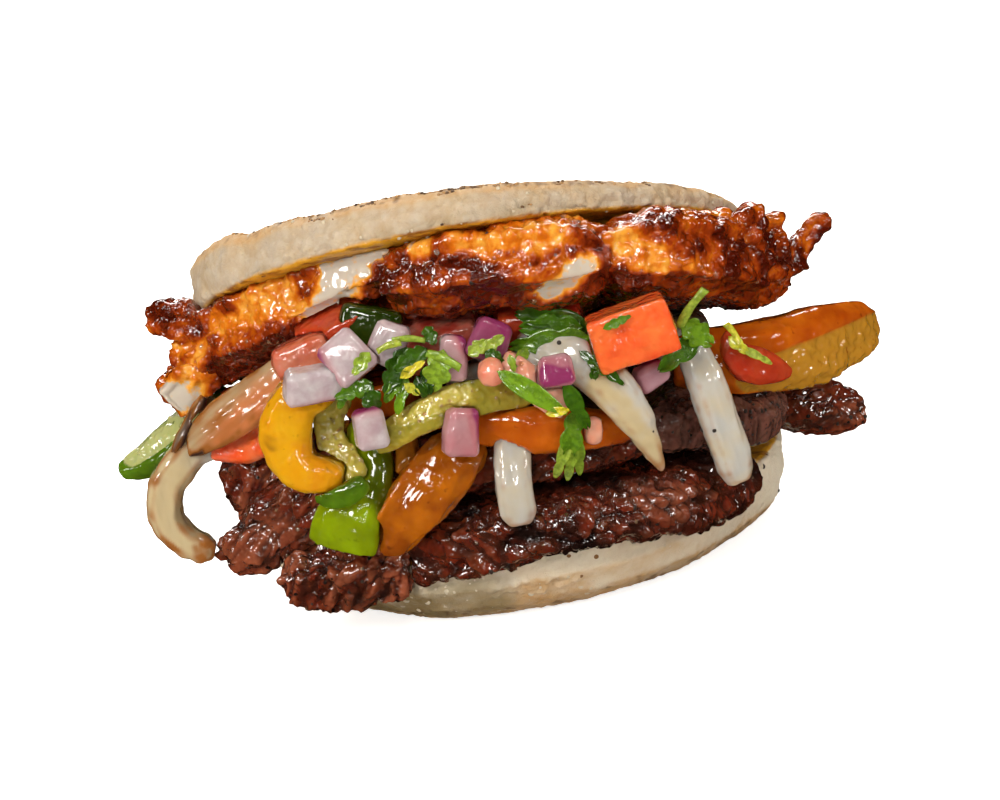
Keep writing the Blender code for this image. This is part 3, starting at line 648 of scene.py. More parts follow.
def fry(node, name, seed, dark):
    """A slab of fried cheese. `dark` shifts its browning from 0.3, golden, to 0.8, burnt."""
    piece = fine_copy(node, name, 0.4, 9)
    points, facing = surface(piece)
    strayed = points + 1.6 * np.stack([swells(points, 2.6, seed + k, 2) for k in range(10, 13)], axis=1)
    white = near(strayed, WHITE_PATCHES)
    golden = near(strayed, GOLDEN_PATCHES)
    crusty = 1 - 0.9 * white
    loose = points + 1.2 * np.stack([swells(points, 4, seed + k) for k in range(3)], axis=1)
    away, gap, kind = pebbles(loose, 3.2, seed)
    blisters = np.sqrt(1 - rise(away, 0.0, 0.66)) * (0.2 + 0.8 * kind)
    small_away, small_gap, small_kind = pebbles(loose, 1.5, seed + 7)
    beads = np.sqrt(1 - rise(small_away, 0.0, 0.62)) * (0.2 + 0.8 * small_kind)
    rumple = swells(points, 9, seed + 1, 2)
    folds = 1 - np.abs(swells(loose * (0.35, 0.8, 1.3), 4.2, seed + 2)) * 2.2
    height = 0.9 * rumple + crusty * (0.55 * folds + 1.1 * blisters + 0.6 * beads + 0.24 * swells(points, 1.0, seed + 9))
    height += white * 0.7 * swells(points * (1, 1, 0.5), 3.5, seed + 4)
    height += 1.3 * rise(facing[:, 2], 0.1, 0.8) + 0.9 * rise(np.abs(facing[:, 0]), 0.5, 0.9)
    raise_skin(piece, points, facing, height - 0.7)
    browning = dark + 0.34 * swells(points, 4.0, seed + 5, 3) + 0.12 * rumple - 0.10 * (folds - 0.3)
    browning += 0.34 * (kind - 0.45) * rise(gap, 0, 0.15) + 0.20 * (small_kind - 0.5) + 0.14 * (blisters - 0.4)
    browning = np.maximum(browning, 0.27 + 0.3 * (browning - 0.27))
    browning += 0.8 * golden * (0.20 + 0.16 * swells(points, 2.2, seed + 8, 2) - browning)
    # Where the slab faces down it is browned darker: partly its crust, partly painted shade.
    browning += 0.27 * near(strayed, BURNT_PATCHES) + 0.22 * rise(-facing[:, 2], -0.1, 0.6)
    browning = browning * (1 - white) + white * (0.03 + 0.07 * swells(points, 4, seed + 6, 2))
    paint(piece, browning=browning)
    piece.data.materials.append(browned)
    return piece


fry("cheese_left", "fried_cheese_left", 41, 0.55)
fry("cheese_middle", "fried_cheese_middle", 52, 0.58)
fry("cheese_right", "fried_cheese_right", 63, 0.58)
fry("cheese_corner", "white_cheese_corner", 74, 0.45)

# --- soft peppers ----------------------------------------------------------------------------------
# Strips of sweet pepper cooked until limp: yellow, orange and green. The skin side is taut and wet,
# and the inner side is paler with a fine grain that sparkles.


def pepper(name, skin, deep, flesh, dull=0.20, shine=0.08, relief=0.2):
    """A wet pepper strip: `skin` is its colour, `deep` that of its darker patches, and `flesh` its inner side."""
    made, tree, shader = fresh(
        name,
        Subsurface_Weight=0.35,
        Subsurface_Radius=(1.0, 0.5, 0.12),
        Subsurface_Scale=2.0 * MM,
        Coat_Weight=1.0,
        Coat_Roughness=0.03,
        Specular_IOR_Level=0.35,
    )
    drift = steps(tree, grain(tree, 7, 2), (0.35, (0, 0, 0)), (0.68, (1, 1, 1)))
    colour = mix(tree, drift, skin, deep)
    colour = mix(tree, mask(tree, "flesh"), colour, flesh)
    spots = steps(tree, grain(tree, 1.7, 2), (0.66, (0, 0, 0)), (0.76, (0.7, 0.7, 0.7)))
    colour = mix(tree, spots, colour, tuple(0.5 * part for part in deep))
    colour = mix(tree, mask(tree, "shade"), colour, tuple(0.35 * part for part in deep))
    colour = mix(tree, mask(tree, "char"), colour, (0.09, 0.03, 0.006))
    tree.links.new(colour, shader.inputs["Base Color"])
    film = placed(tree, wet, Size=2.0, Dull=dull, Shine=shine)
    tree.links.new(film.outputs["Roughness"], shader.inputs["Roughness"])
    bump(tree, shader, sum_of(tree, grain(tree, 1.1, 0), film.outputs["Height"]), relief)
    return made


def lay_pepper(node, name, skin, seed, flesh=(), shade=(), char=(), wavy=0.35, ragged=0.1, ridged=None):
    """A pepper strip with its patches of inner flesh, shade and char. `ridged` is the way its ridges run."""
    piece = fine_copy(node, name, 0.4, 14)
    points, facing = surface(piece)
    inner = rise(near(points, flesh), 0.36, 0.5)
    height = 0.2 + wavy * swells(points, 7, seed) + ragged * swells(points, 2.2, seed + 1, 2)
    height += 0.06 * swells(points, 1.3, seed + 5)
    height += inner * (0.6 * swells(points, 1.7, seed + 2, 2) + 0.15 * swells(points, 0.9, seed + 6) - 0.35)
    if ridged:
        axis = np.array(ridged, float) / np.linalg.norm(ridged)
        across = points - np.outer(points @ axis, axis) * 0.93
        height += 1.3 * (0.4 - np.abs(swells(across, 3.0, seed + 4)) * 1.6)
    raise_skin(piece, points, facing, height)
    paint(
        piece,
        flesh=inner,
        shade=near(points, shade),
        char=near(points, char) * rise(swells(points, 3, seed + 3, 2), -0.5, 0.3),
    )
    piece.data.materials.append(skin)
    return piece


yellow_skin = pepper("yellow_pepper_skin", (0.66, 0.34, 0.006), (0.62, 0.24, 0.004), (0.60, 0.42, 0.05))
lime_skin = pepper("lime_pepper_skin", (0.24, 0.33, 0.002), (0.16, 0.21, 0.002), (0.38, 0.42, 0.05))
green_skin = pepper("green_pepper_skin", (0.10, 0.20, 0.006), (0.05, 0.10, 0.004), (0.42, 0.43, 0.16))
olive_flesh = pepper("olive_pepper_flesh", (0.40, 0.30, 0.035), (0.22, 0.20, 0.018), (0.46, 0.37, 0.06), 0.24, 0.08, 0.5)
orange_skin = pepper("orange_pepper_skin", (0.54, 0.115, 0.004), (0.36, 0.055, 0.002), (0.42, 0.19, 0.016))
amber_skin = pepper("amber_pepper_skin", (0.46, 0.125, 0.004), (0.24, 0.052, 0.003), (0.60, 0.26, 0.02))
charred_skin = pepper("charred_pepper_skin", (0.50, 0.16, 0.010), (0.14, 0.045, 0.008), (0.62, 0.26, 0.03))

lay_pepper("pepper_yellow_curl", "yellow_curl", yellow_skin, 81, char=[((-45, -59, 47), (-44, -59, 46), 1.6)])
lay_pepper("pepper_olive_fold", "olive_fold", olive_flesh, 82, flesh=[((-35, -54, 49), (-30, -59, 37), 9)])
lay_pepper("pepper_fold_tip", "fold_tip", green_skin, 83, flesh=[((-39, -61, 37.6), (-28, -62, 39), 1.5)])
lay_pepper("pepper_green_drop", "lime_drop", lime_skin, 84, shade=[((-22, -52, 46), (-25, -58, 32), 6)])
lay_pepper("pepper_green_long", "long_olive_strip", olive_flesh, 85, flesh=[((-20, -61, 48), (-3, -63, 51), 3.4)])
lay_pepper("pepper_green_tip", "green_tip", green_skin, 86, flesh=[((-60, -28, 48.5), (-75, -29.5, 43), 4.2)])
lay_pepper("pepper_green_behind", "green_piece_behind", green_skin, 87, shade=[((-30, -48, 60), (-10, -48, 62), 40)])
lay_pepper("pepper_orange_fold", "orange_fold", amber_skin, 88, wavy=0.5, ridged=(15, 0, 17))
lay_pepper("pepper_orange_sliver", "orange_sliver", charred_skin, 89)
lay_pepper("pepper_orange_middle", "orange_strip", orange_skin, 90)
lay_pepper(
    "pepper_orange_right", "orange_piece_right", orange_skin, 91, flesh=[((40, -52, 35), (76, -25, 35), 7.6)]
)
lay_pepper("pepper_orange_deep", "orange_strip_deep", orange_skin, 92)
lay_pepper("pepper_green_deep", "green_strip_deep", lime_skin, 93)
lay_pepper("pepper_yellow_deep", "yellow_strip_deep", yellow_skin, 94)

# --- onion strips ----------------------------------------------------------------------------------
# White onion cooked until glassy: pale, see-through and lined along its length, with browned edges.

ONION_PALE = (0.45, 0.425, 0.375)
ONION_WARM = (0.52, 0.41, 0.23)
ONION_BROWN = (0.30, 0.105, 0.022)
ONION_CHAR = (0.022, 0.008, 0.004)

glassy, tree, shader = fresh(
    "glassy_onion",
    Subsurface_Weight=0.5,
    Subsurface_Radius=(1.0, 0.8, 0.55),
    Subsurface_Scale=2.4 * MM,
    Coat_Roughness=0.04,
    Specular_IOR_Level=0.35,
)
pale = mix(tree, steps(tree, grain(tree, 6, 3), (0.4, (0, 0, 0)), (0.7, (0.7, 0.7, 0.7))), ONION_PALE, ONION_WARM)
pale = mix(tree, sum_of(tree, mask(tree, "lines"), 0.35, "MULTIPLY"), pale, (0.62, 0.60, 0.54))
pale = mix(tree, mask(tree, "warm"), pale, ONION_WARM)
# painted shade: the `clear` mask darkens the wall that is turned from the light, along with its see-through tone
pale = mix(tree, mask(tree, "clear"), pale, (0.25, 0.18, 0.09))
pale = mix(tree, sum_of(tree, mask(tree, "pink"), 0.85, "MULTIPLY"), pale, (0.58, 0.155, 0.04))
pale = mix(tree, mask(tree, "browned"), pale, ONION_BROWN)
pale = mix(tree, mask(tree, "char"), pale, ONION_CHAR)
tree.links.new(pale, shader.inputs["Base Color"])
shine = sum_of(tree, 1.0, mask(tree, "char"), "SUBTRACT")
tree.links.new(sum_of(tree, shine, 0, "MAXIMUM"), shader.inputs["Coat Weight"])
film = placed(tree, wet, Size=1.8, Dull=0.24, Shine=0.10)
dull = sum_of(tree, mask(tree, "char"), 0.45, "MULTIPLY")
tree.links.new(sum_of(tree, film.outputs["Roughness"], dull, "MAXIMUM"), shader.inputs["Roughness"])
bump(tree, shader, sum_of(tree, mask(tree, "lines"), film.outputs["Height"]), 0.12)


def ridges(piece, points, facing):
    """How sharply the surface bends outwards at each point, from 0 to about 1 at the piece's own edges."""
    ends = np.empty(len(piece.data.edges) * 2, np.int32)
    piece.data.edges.foreach_get("vertices", ends)
    first, second = ends.reshape(-1, 2).T
    shares = np.maximum(np.bincount(np.concatenate([first, second]), minlength=len(points)), 1)

    def evened(values):
        total = np.bincount(first, values[second], len(points)) + np.bincount(second, values[first], len(points))
        return total / shares

    middle = np.stack([evened(points[:, axis].copy()) for axis in range(3)], axis=1)
    bend = -((middle - points) * facing).sum(axis=1)
    for _ in range(3):
        bend = evened(bend)
    return bend / np.quantile(bend, 0.95)


def lay_onion(
    node, name, way, seed, rim=0.6, warm=(), browned=(), pink=(), char=(), inner=(0, 0, 0)
):
    """An onion strip that runs along `way`, with its thin brown rim and its patches. `inner` is the
    side on which its wall is turned away from the light; there it is painted darker, partly painted shade and partly
    its clear, see-through tone."""
    piece = fine_copy(node, name, 0.38, 8)
    points, facing = surface(piece)
    axis = np.array(way, float) / np.linalg.norm(way)
    squeezed = points - np.outer(points @ axis, axis) * 0.9
    lines = swells(squeezed, 1.3, seed, 2)
    strayed = points + 1.4 * np.stack([swells(points, 2.4, seed + k, 2) for k in range(10, 13)], axis=1)
    height = 0.12 + 0.3 * swells(points, 8, seed + 1) + 0.2 * lines + 0.14 * swells(points, 1.8, seed + 6)
    raise_skin(piece, points, facing, height)
    edge = rise(ridges(piece, points, facing), 0.3, 0.9)
    paint(
        piece,
        lines=0.5 + 0.5 * lines,
        browned=rim * edge * rise(swells(points, 5, seed + 2, 2), -0.6, 0.3)
        + near(strayed, browned) * rise(swells(squeezed, 2, seed + 3, 3), -0.5, 0.4),
        warm=near(strayed, warm),
        # painted shade, darker where the wall faces the `inner` side
        clear=0.8 * rise(facing @ np.array(inner), 0.1, 0.6),
        pink=near(strayed, pink),
        char=near(strayed, char) * rise(swells(squeezed, 1.5, seed + 4, 2), -0.4, 0.2),
    )
    piece.data.materials.append(glassy)
    return piece


lay_onion("onion_centre", "onion_strip_centre", (0.75, -0.2, -0.9), 101, 0.8, warm=[((16, -62, 46), (24, -58, 30), 4)])
lay_onion("onion_right", "onion_strip_right", (0.2, -0.1, -1), 102, 0.8)
lay_onion(
    "onion_low",
    "onion_strip_low",
    (0, 0, -1),
    103,
    0.6,
    browned=[((-6, -61, 20.5), (2, -61, 20.5), 2.2)],
    inner=(0, -0.25, 0),
)
lay_onion(
    "onion_curl_left",
    "onion_curl",
    (0, 0.2, 1),
    104,
    0.9,
    warm=[((-72, -37, 40), (-72, -37, 28), 14), ((-70, -37, 26), (-62, -36, 20), 12)],
    browned=[((-72, -38, 24), (-62, -38, 20.0), 2.6), ((-75.5, -37, 36), (-73, -37, 26), 1.6)],
    inner=(0.95, 0, 0.3),
)
lay_onion(
    "onion_petal_left",
    "onion_petal",
    (0.8, -0.2, 0.5),
    105,
    0.9,
    warm=[((-64, -37, 44), (-46, -43, 54), 14)],
    browned=[
        ((-63, -37, 44.0), (-55, -40, 47.0), 4.2),
        ((-67, -36, 41.5), (-50, -42, 41.5), 3.2),
        ((-60, -37, 49), (-48, -41, 56), 3.4),
        ((-55, -41, 44), (-47, -43, 52), 2.0),
    ],
    pink=[((-52, -42, 42), (-40, -46, 50), 11)],
    char=[((-66, -36, 41.0), (-56, -40, 41.5), 1.3)],
    inner=(0, -0.4, 0),
)
lay_onion(
    "onion_sliver",
    "onion_charred_edge",
    (0.5, 0, 1),
    106,
    1.0,
    warm=[((-58, -35, 54), (-66, -37, 44), 5)],
    browned=[((-58, -35, 54), (-67, -37, 42), 6)],
    char=[((-58, -35, 53), (-67, -37, 42), 6)],
)
lay_onion("onion_deep", "onion_strip_deep", (0, 1, -0.2), 107)
lay_onion("onion_deep_right", "onion_strip_deep_right", (0.1, 1, -0.2), 108)

# --- red onion dice --------------------------------------------------------------------------------
# Raw red onion cut small: milky lavender flesh, with the purple skin of each layer along one side.

raw_onion, tree, shader = fresh(
    "raw_red_onion",
    Subsurface_Weight=0.45,
    Subsurface_Radius=(1.0, 0.75, 0.85),
    Subsurface_Scale=1.8 * MM,
    Coat_Weight=1.0,
    Coat_Roughness=0.06,
    Specular_IOR_Level=0.3,
)
milky = mix(tree, steps(tree, grain(tree, 2.6, 3), (0.35, (0, 0, 0)), (0.75, (1, 1, 1))), (0.50, 0.43, 0.42), (0.38, 0.28, 0.29))
milky = mix(tree, mask(tree, "blush"), milky, (0.42, 0.15, 0.16))
milky = mix(tree, mask(tree, "purple"), milky, (0.24, 0.03, 0.10))
tree.links.new(milky, shader.inputs["Base Color"])
film = placed(tree, wet, Size=1.2, Dull=0.24, Shine=0.12)
tree.links.new(film.outputs["Roughness"], shader.inputs["Roughness"])
bump(tree, shader, sum_of(tree, grain(tree, 0.9, 0), film.outputs["Height"]), 0.12)

DICE = {
    "red_onion_left": ((0, 0.2, -1), 0.0, 0.0),
    "red_onion_upper_left": ((-1, 0.1, -0.35), 0.0, 0.15),
    "red_onion_behind_herbs": ((0.6, 0, -0.7), 0.0, 0.1),
    "red_onion_cup": ((0, 0.3, 1), 0.0, 0.08),
    "red_onion_low": ((1, 0, 0), 0.0, 0.8),
    "red_onion_dark": ((0.7, 0, 0.6), 0.85, 0.7),
    "red_onion_pink": ((0.9, 0, 0.4), 0.0, 0.6),
    "red_onion_middle": ((0, -1, 0.2), 0.25, 0.4),
    "red_onion_right": ((0, 0.2, 1), 0.3, 0.6),
}
for index, (node, (skin_side, whole, blush)) in enumerate(DICE.items()):
    piece = fine_copy(node, node.replace("red_onion", "red_dice"), 0.3, 4)
    points, facing = surface(piece)
    raise_skin(piece, points, facing, 0.1 + 0.2 * swells(points, 4, 120 + index))
    side = np.array(skin_side, float) / np.linalg.norm(skin_side)
    reach = (points - points.mean(axis=0)) @ side
    outermost = reach / reach.max()
    paint(
        piece,
        purple=whole + rise(outermost + 0.12 * swells(points, 2, 130 + index), 0.62, 0.82),
        blush=blush + 0.5 * rise(outermost, 0.35, 0.75) + 0.2 * swells(points, 3, 140 + index),
    )
    piece.data.materials.append(raw_onion)

# --- tomato ----------------------------------------------------------------------------------------
# Ripe tomato cut in dice: wet orange-red flesh with paler veins, and a darker skin on one side.

juicy, tree, shader = fresh(
    "tomato_flesh",
    Subsurface_Weight=0.4,
    Subsurface_Radius=(1.0, 0.22, 0.12),
    Subsurface_Scale=2.2 * MM,
    Coat_Weight=1.0,
    Coat_Roughness=0.05,
    Specular_IOR_Level=0.4,
)
red = mix(tree, steps(tree, grain(tree, 5, 3), (0.35, (0, 0, 0)), (0.7, (1, 1, 1))), (0.80, 0.085, 0.018), (0.82, 0.17, 0.035))
# the `dark` mask: a darker skin on one side, and painted shade on the pieces deep in the heap
red = mix(tree, mask(tree, "dark"), red, (0.30, 0.014, 0.006))
red = mix(tree, mask(tree, "pink"), red, (0.66, 0.33, 0.22))
tree.links.new(red, shader.inputs["Base Color"])
film = placed(tree, wet, Size=1.8, Dull=0.22, Shine=0.10)
tree.links.new(film.outputs["Roughness"], shader.inputs["Roughness"])
bump(tree, shader, sum_of(tree, grain(tree, 1.1, 0), film.outputs["Height"]), 0.4)

# Each dice: its share of `dark` (skin on tomato_right; painted shade on tomato_pink and the pieces behind) and its
# share of pink.
TOMATO = {
    "tomato_big": (0.0, 0.0),
    "tomato_right": (0.75, 0.0),
    "tomato_flesh": (0.0, 0.85),
    "tomato_blob": (0.0, 0.6),
    "tomato_drop": (0.0, 0.8),
    "tomato_pink": (0.6, 0.3),
    "tomato_red_behind": (0.7, 0.0),
    "tomato_dark_behind": (1.0, 0.2),
    "tomato_right_behind": (0.8, 0.0),
    "tomato_slice_left": (0.0, 0.1),
}
for index, (node, (dark, pink)) in enumerate(TOMATO.items()):
    piece = fine_copy(node, node.replace("tomato", "tomato_cut"), 0.4, 8)
    points, facing = surface(piece)
    raise_skin(piece, points, facing, 0.15 + 0.3 * swells(points, 5, 150 + index, 2))
    paint(
        piece,
        dark=dark + 0.25 * swells(points, 5, 160 + index, 2),
        pink=pink + 0.3 * swells(points, 3, 170 + index, 2) * (pink > 0),
    )
    piece.data.materials.append(juicy)

# --- chopped herbs ---------------------------------------------------------------------------------
# Fresh coriander, roughly chopped: lobed leaves from yellow-green to nearly black green, thin and
# a little curled, and short lengths of juicy pale stem. They lie wet on the onions and tomatoes.

LEAF_THICK = 0.22
# Each leaf: where its stalk ends, its tip, its width, how many teeth each side has, its tone from 0,
# dark, to 1, yellow, and how far its sides curl up, in shares of its width.
LEAVES = [
    ((-16.6, -59.4, 59.4), (-21.8, -60.8, 52.2), 4.6, 3, 0.10, 0.35),
    ((-13.0, -59.8, 58.4), (-19.3, -61.6, 55.9), 4.2, 3, 0.18, 0.4),
    ((-17.7, -60.0, 54.6), (-20.6, -61.0, 47.9), 2.8, 1, 0.55, 0.3),
    ((-18.2, -60.3, 54.6), (-22.4, -60.6, 50.4), 2.6, 1, 0.45, 0.3),
    ((-16.0, -60.6, 54.0), (-15.2, -60.8, 50.0), 2.6, 2, 0.12, 0.4),
    ((-10.2, -60.9, 57.9), (-13.4, -61.2, 51.2), 5.6, 2, 0.66, 0.15),
    ((-18.9, -61.9, 54.4), (-14.1, -62.0, 56.6), 2.0, 1, 0.98, 0.5),
    ((-18.4, -61.6, 53.3), (-16.2, -61.3, 50.8), 2.0, 1, 0.9, 0.5),
    ((-14.0, -60.2, 55.6), (-14.2, -60.8, 50.4), 3.0, 2, 0.05, 0.3),
    ((-23.8, -60.4, 54.3), (-30.6, -63.0, 53.4), 3.6, 3, 0.35, 0.25),
    ((-26.2, -61.0, 54.6), (-23.8, -61.0, 49.8), 4.2, 2, 0.14, 0.3),
    ((-28.4, -61.4, 54.2), (-30.6, -62.8, 51.4), 2.0, 1, 0.4, 0.2),
    ((-23.1, -62.6, 60.4), (-26.6, -64.3, 57.4), 2.9, 2, 0.72, 0.3),
    ((-12.9, -53.0, 61.1), (-11.8, -54.6, 57.9), 3.0, 2, 0.25, 0.3),
    ((-6.1, -61.2, 55.9), (-2.6, -61.0, 57.9), 3.0, 2, 0.78, 0.3),
    ((-3.9, -61.2, 55.9), (0.6, -60.6, 58.0), 2.9, 1, 0.8, 0.3),
    ((-3.0, -61.2, 56.4), (-0.2, -62.8, 53.6), 2.8, 2, 0.12, 0.4),
    ((4.9, -58.4, 54.6), (1.2, -64.8, 53.0), 2.3, 2, 0.66, 0.3),
    ((1.2, -64.8, 55.6), (1.5, -65.0, 52.4), 1.6, 1, 0.7, 0.3),
    ((-1.6, -65.4, 53.2), (9.0, -67.2, 43.6), 3.6, 0, 0.56, 0.25),
    ((9.6, -66.6, 49.4), (12.6, -62.8, 39.2), 3.4, 1, 0.24, 0.3),
    # The next leaf is a small fold whose near-yellow tone is a painted highlight.
    ((5.4, -67.2, 44.2), (9.6, -67.6, 44.2), 1.8, 0, 0.97, 0.5),
    ((11.2, -63.2, 43.0), (8.2, -60.4, 33.4), 4.4, 2, 0.45, 0.2),
    ((9.6, -61.6, 38.4), (5.2, -58.6, 29.6), 2.6, 1, 0.74, 0.25),
    ((10.0, -61.6, 37.8), (7.4, -58.2, 28.6), 2.6, 1, 0.7, 0.25),
    ((10.6, -61.8, 38.0), (9.8, -58.4, 29.4), 2.5, 1, 0.68, 0.25),
    ((16.6, -57.0, 54.0), (2.0, -54.6, 54.6), 5.2, 2, 0.38, 0.3),
    ((15.6, -54.0, 55.4), (4.4, -53.9, 57.4), 5.6, 2, 0.3, 0.25),
    ((17.2, -53.0, 54.6), (4.2, -52.9, 60.0), 5.4, 1, 0.12, 0.25),
    ((13.6, -60.9, 52.9), (20.3, -62.9, 45.7), 2.6, 4, 0.12, 0.35),
    ((16.0, -61.6, 50.0), (15.0, -62.4, 46.9), 1.8, 2, 0.16, 0.35),
    ((18.3, -64.8, 56.8), (23.5, -64.8, 58.2), 1.9, 3, 0.38, 0.3),
    ((32.9, -56.4, 53.6), (37.6, -56.4, 48.6), 5.4, 2, 0.5, 0.2),
    ((35.9, -55.4, 49.8), (27.6, -58.6, 45.9), 4.6, 1, 0.28, 0.25),
    ((41.8, -51.4, 48.0), (44.6, -52.0, 44.4), 2.6, 1, 0.9, 0.3),
    ((43.6, -51.8, 45.6), (49.0, -51.4, 41.2), 1.7, 1, 0.82, 0.3),
]
# Each stem: its two ends, its thickness and its tone.
STEMS = [
    ((-21.9, -61.0, 59.8), (-17.4, -61.2, 60.6), 1.3, 0.82),
    ((-19.0, -60.8, 61.3), (-13.2, -60.0, 59.9), 1.2, 0.75),
    ((-13.3, -61.0, 57.8), (-7.9, -62.4, 54.2), 1.75, 0.68),
    ((32.6, -56.4, 52.6), (38.2, -58.4, 59.0), 1.7, 0.74),
    ((41.8, -50.6, 50.2), (43.6, -52.0, 45.6), 1.3, 0.92),
]


def closed_sheet(upper, lower):
    """Points and faces of a thin closed leaf between two grids of points."""
    rows, columns = upper.shape[:2]
    points = np.concatenate([upper.reshape(-1, 3), lower.reshape(-1, 3)])
    index = np.arange(rows * columns).reshape(rows, columns)
    under = index + rows * columns
    faces = []
    for r in range(rows - 1):
        for c in range(columns - 1):
            faces.append((index[r, c], index[r, c + 1], index[r + 1, c + 1], index[r + 1, c]))
            faces.append((under[r, c], under[r + 1, c], under[r + 1, c + 1], under[r, c + 1]))
    rim = [*index[0], *index[1:, -1], *index[-1, -2::-1], *index[-2:0:-1, 0]]
    for first, second in zip(rim, rim[1:] + rim[:1]):
        faces.append((second, first, first + rows * columns, second + rows * columns))
    return points, faces


def pipe(start, end, thick, bend, seed):
    """Points and faces of a short solid stem, a little bent and flattened, with cut ends."""
    start, end = np.array(start), np.array(end)
    way = (end - start) / np.linalg.norm(end - start)
    across = np.cross(way, (0, 1, 0.2))
    across /= np.linalg.norm(across)
    outward = np.cross(across, way)
    rows, sides = 9, 12
    turn = np.linspace(0, 2 * math.pi, sides, endpoint=False)
    points = []
    for row in range(rows):
        share = row / (rows - 1)
        centre = start + (end - start) * share + across * bend * math.sin(math.pi * share)
        reach = thick / 2 * (1 - 0.12 * math.sin(7 * share + seed))
        ring = np.outer(np.cos(turn), across) + 0.75 * np.outer(np.sin(turn), outward)
        points.append(centre + reach * ring)
    points = np.concatenate(points)
    faces = [tuple(range(sides))[::-1], tuple(range((rows - 1) * sides, rows * sides))]
    for row in range(rows - 1):
        for side in range(sides):
            a, b = row * sides + side, row * sides + (side + 1) % sides
            faces.append((a, b, b + sides, a + sides))
    return points, faces


def joined(name, parts, material):
    """One piece of many small closed shapes, each given as its points, faces and tone."""
    points = np.concatenate([part[0] for part in parts])
    faces = []
    tones = []
    first = 0
    for part_points, part_faces, tone in parts:
        faces += [tuple(int(corner) + first for corner in face) for face in part_faces]
        tones += [tone] * len(part_points)
        first += len(part_points)
    piece = bpy.data.objects.new(name, bpy.data.meshes.new(name))
    piece.data.from_pydata((points * MM).tolist(), [], faces)
    piece.data.shade_smooth()
    scene.collection.objects.link(piece)
    piece.data.materials.append(material)
    paint(piece, tone=np.array(tones))
    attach(piece, "root")
    return piece


def leaf(base, tip, width, teeth, curl, seed):
    """Points and faces of one leaf, broad in its outer half, with rounded teeth and a folded midrib."""
    base, tip = np.array(base), np.array(tip)
    length = np.linalg.norm(tip - base)
    way = (tip - base) / length
    side = np.cross(way, (0, -1, 0.25))
    side /= np.linalg.norm(side)
    outward = np.cross(side, way)
    if outward[1] > 0:
        outward = -outward
    share = np.linspace(0, 1, 31)[:, None]
    across = np.linspace(-1, 1, 9)[None, :]
    breadth = np.sin(math.pi * share**0.8) ** 0.7 * 0.92 + 0.08
    notch = np.abs(np.sin(math.pi * (teeth + 0.5) * share + 0.4)) ** 0.6 if teeth else 1.0
    half = width / 2 * breadth * (0.55 + 0.45 * notch)
    lift = curl * width * (across**2 * 0.5 - 0.15) * breadth
    lift = lift + 0.12 * width * np.sin(7 * share + seed) * np.abs(across)
    lift = lift + 0.1 * length * np.sin(math.pi * share)
    slew = share * length + across**2 * 0.12 * width
    grid = (
        base
        + slew[..., None] * way
        + (across * half)[..., None] * side
        + lift[..., None] * outward
    )
    return closed_sheet(grid, grid - LEAF_THICK * outward)


fresh_green, tree, shader = fresh(
    "fresh_herb",
    Subsurface_Weight=0.2,
    Subsurface_Radius=(0.4, 1.0, 0.15),
    Subsurface_Scale=0.8 * MM,
    Coat_Weight=0.8,
    Coat_Roughness=0.08,
    Specular_IOR_Level=0.3,
)
green = steps(
    tree,
    mask(tree, "tone"),
    (0.0, (0.012, 0.040, 0.003)),
    (0.3, (0.060, 0.150, 0.004)),
    (0.6, (0.17, 0.31, 0.010)),
    (0.8, (0.36, 0.44, 0.05)),
    (1.0, (0.72, 0.58, 0.02)),
)
veins = steps(tree, grain(tree, 1.1, 3), (0.42, (0, 0, 0)), (0.62, (1, 1, 1)))
green = mix(tree, sum_of(tree, veins, 0.45, "MULTIPLY"), green, (0.02, 0.055, 0.003))
tree.links.new(green, shader.inputs["Base Color"])
film = placed(tree, wet, Size=0.9, Dull=0.3, Shine=0.08)
tree.links.new(film.outputs["Roughness"], shader.inputs["Roughness"])
bump(tree, shader, sum_of(tree, veins, film.outputs["Height"]), 0.12)

parts = []
for index, (base, tip, width, teeth, tone, curl) in enumerate(LEAVES):
    parts.append((*leaf(base, tip, width, teeth, curl, index), tone))
joined("herb_leaves", parts, fresh_green)
parts = []
for index, (start, end, thick, tone) in enumerate(STEMS):
    parts.append((*pipe(start, end, thick, 0.4, index), tone))
joined("herb_stems", parts, fresh_green)

# --- ground pepper, corn grains and juice ----------------------------------------------------------
# Coarse black pepper stuck to the meat and the onions, grains of corn broken from the lower half,
# and beads of fat and juice that stand on everything wet.


def pebble(centre, facing, size, flat, seed):
    """Points and faces of one small rounded lump, flattened along its facing."""
    shape = bmesh.new()
    bmesh.ops.create_icosphere(shape, subdivisions=2, radius=1)
    points = np.array([corner.co for corner in shape.verts])
    faces = [tuple(corner.index for corner in face.verts) for face in shape.faces]
    shape.free()
    points *= (1 + 0.28 * swells(points + 3.7 * seed, 1.1, 7))[:, None]
    points -= np.outer(points @ facing, facing) * (1 - flat)
    return centre + size * points, faces


def scatter(piece, count, seed, box, sizes, flat, sink, upward=-1.0):
    """Lumps on a piece's front, inside a box of two corners and where it faces up by `upward` or more.
    `sink` is how deep each is set, in sizes."""
    places, facing = surface(piece)
    low, high = np.array(box[0]), np.array(box[1])
    front = ((places > low) & (places < high)).all(axis=1) & (facing[:, 1] < -0.1) & (facing[:, 2] > upward)
    candidates = np.flatnonzero(front)
    picked = np.random.default_rng(seed)
    made = []
    for index in picked.choice(candidates, min(count, len(candidates)), replace=False):
        size = picked.uniform(*sizes)
        centre = places[index] - facing[index] * size * sink
        made.append((*pebble(centre, facing[index], size, flat, int(index)), picked.random()))
    return made


pieces = {piece.name: piece for piece in scene.objects}
EVERYWHERE = ((-100, -100, -10), (100, 100, 100))

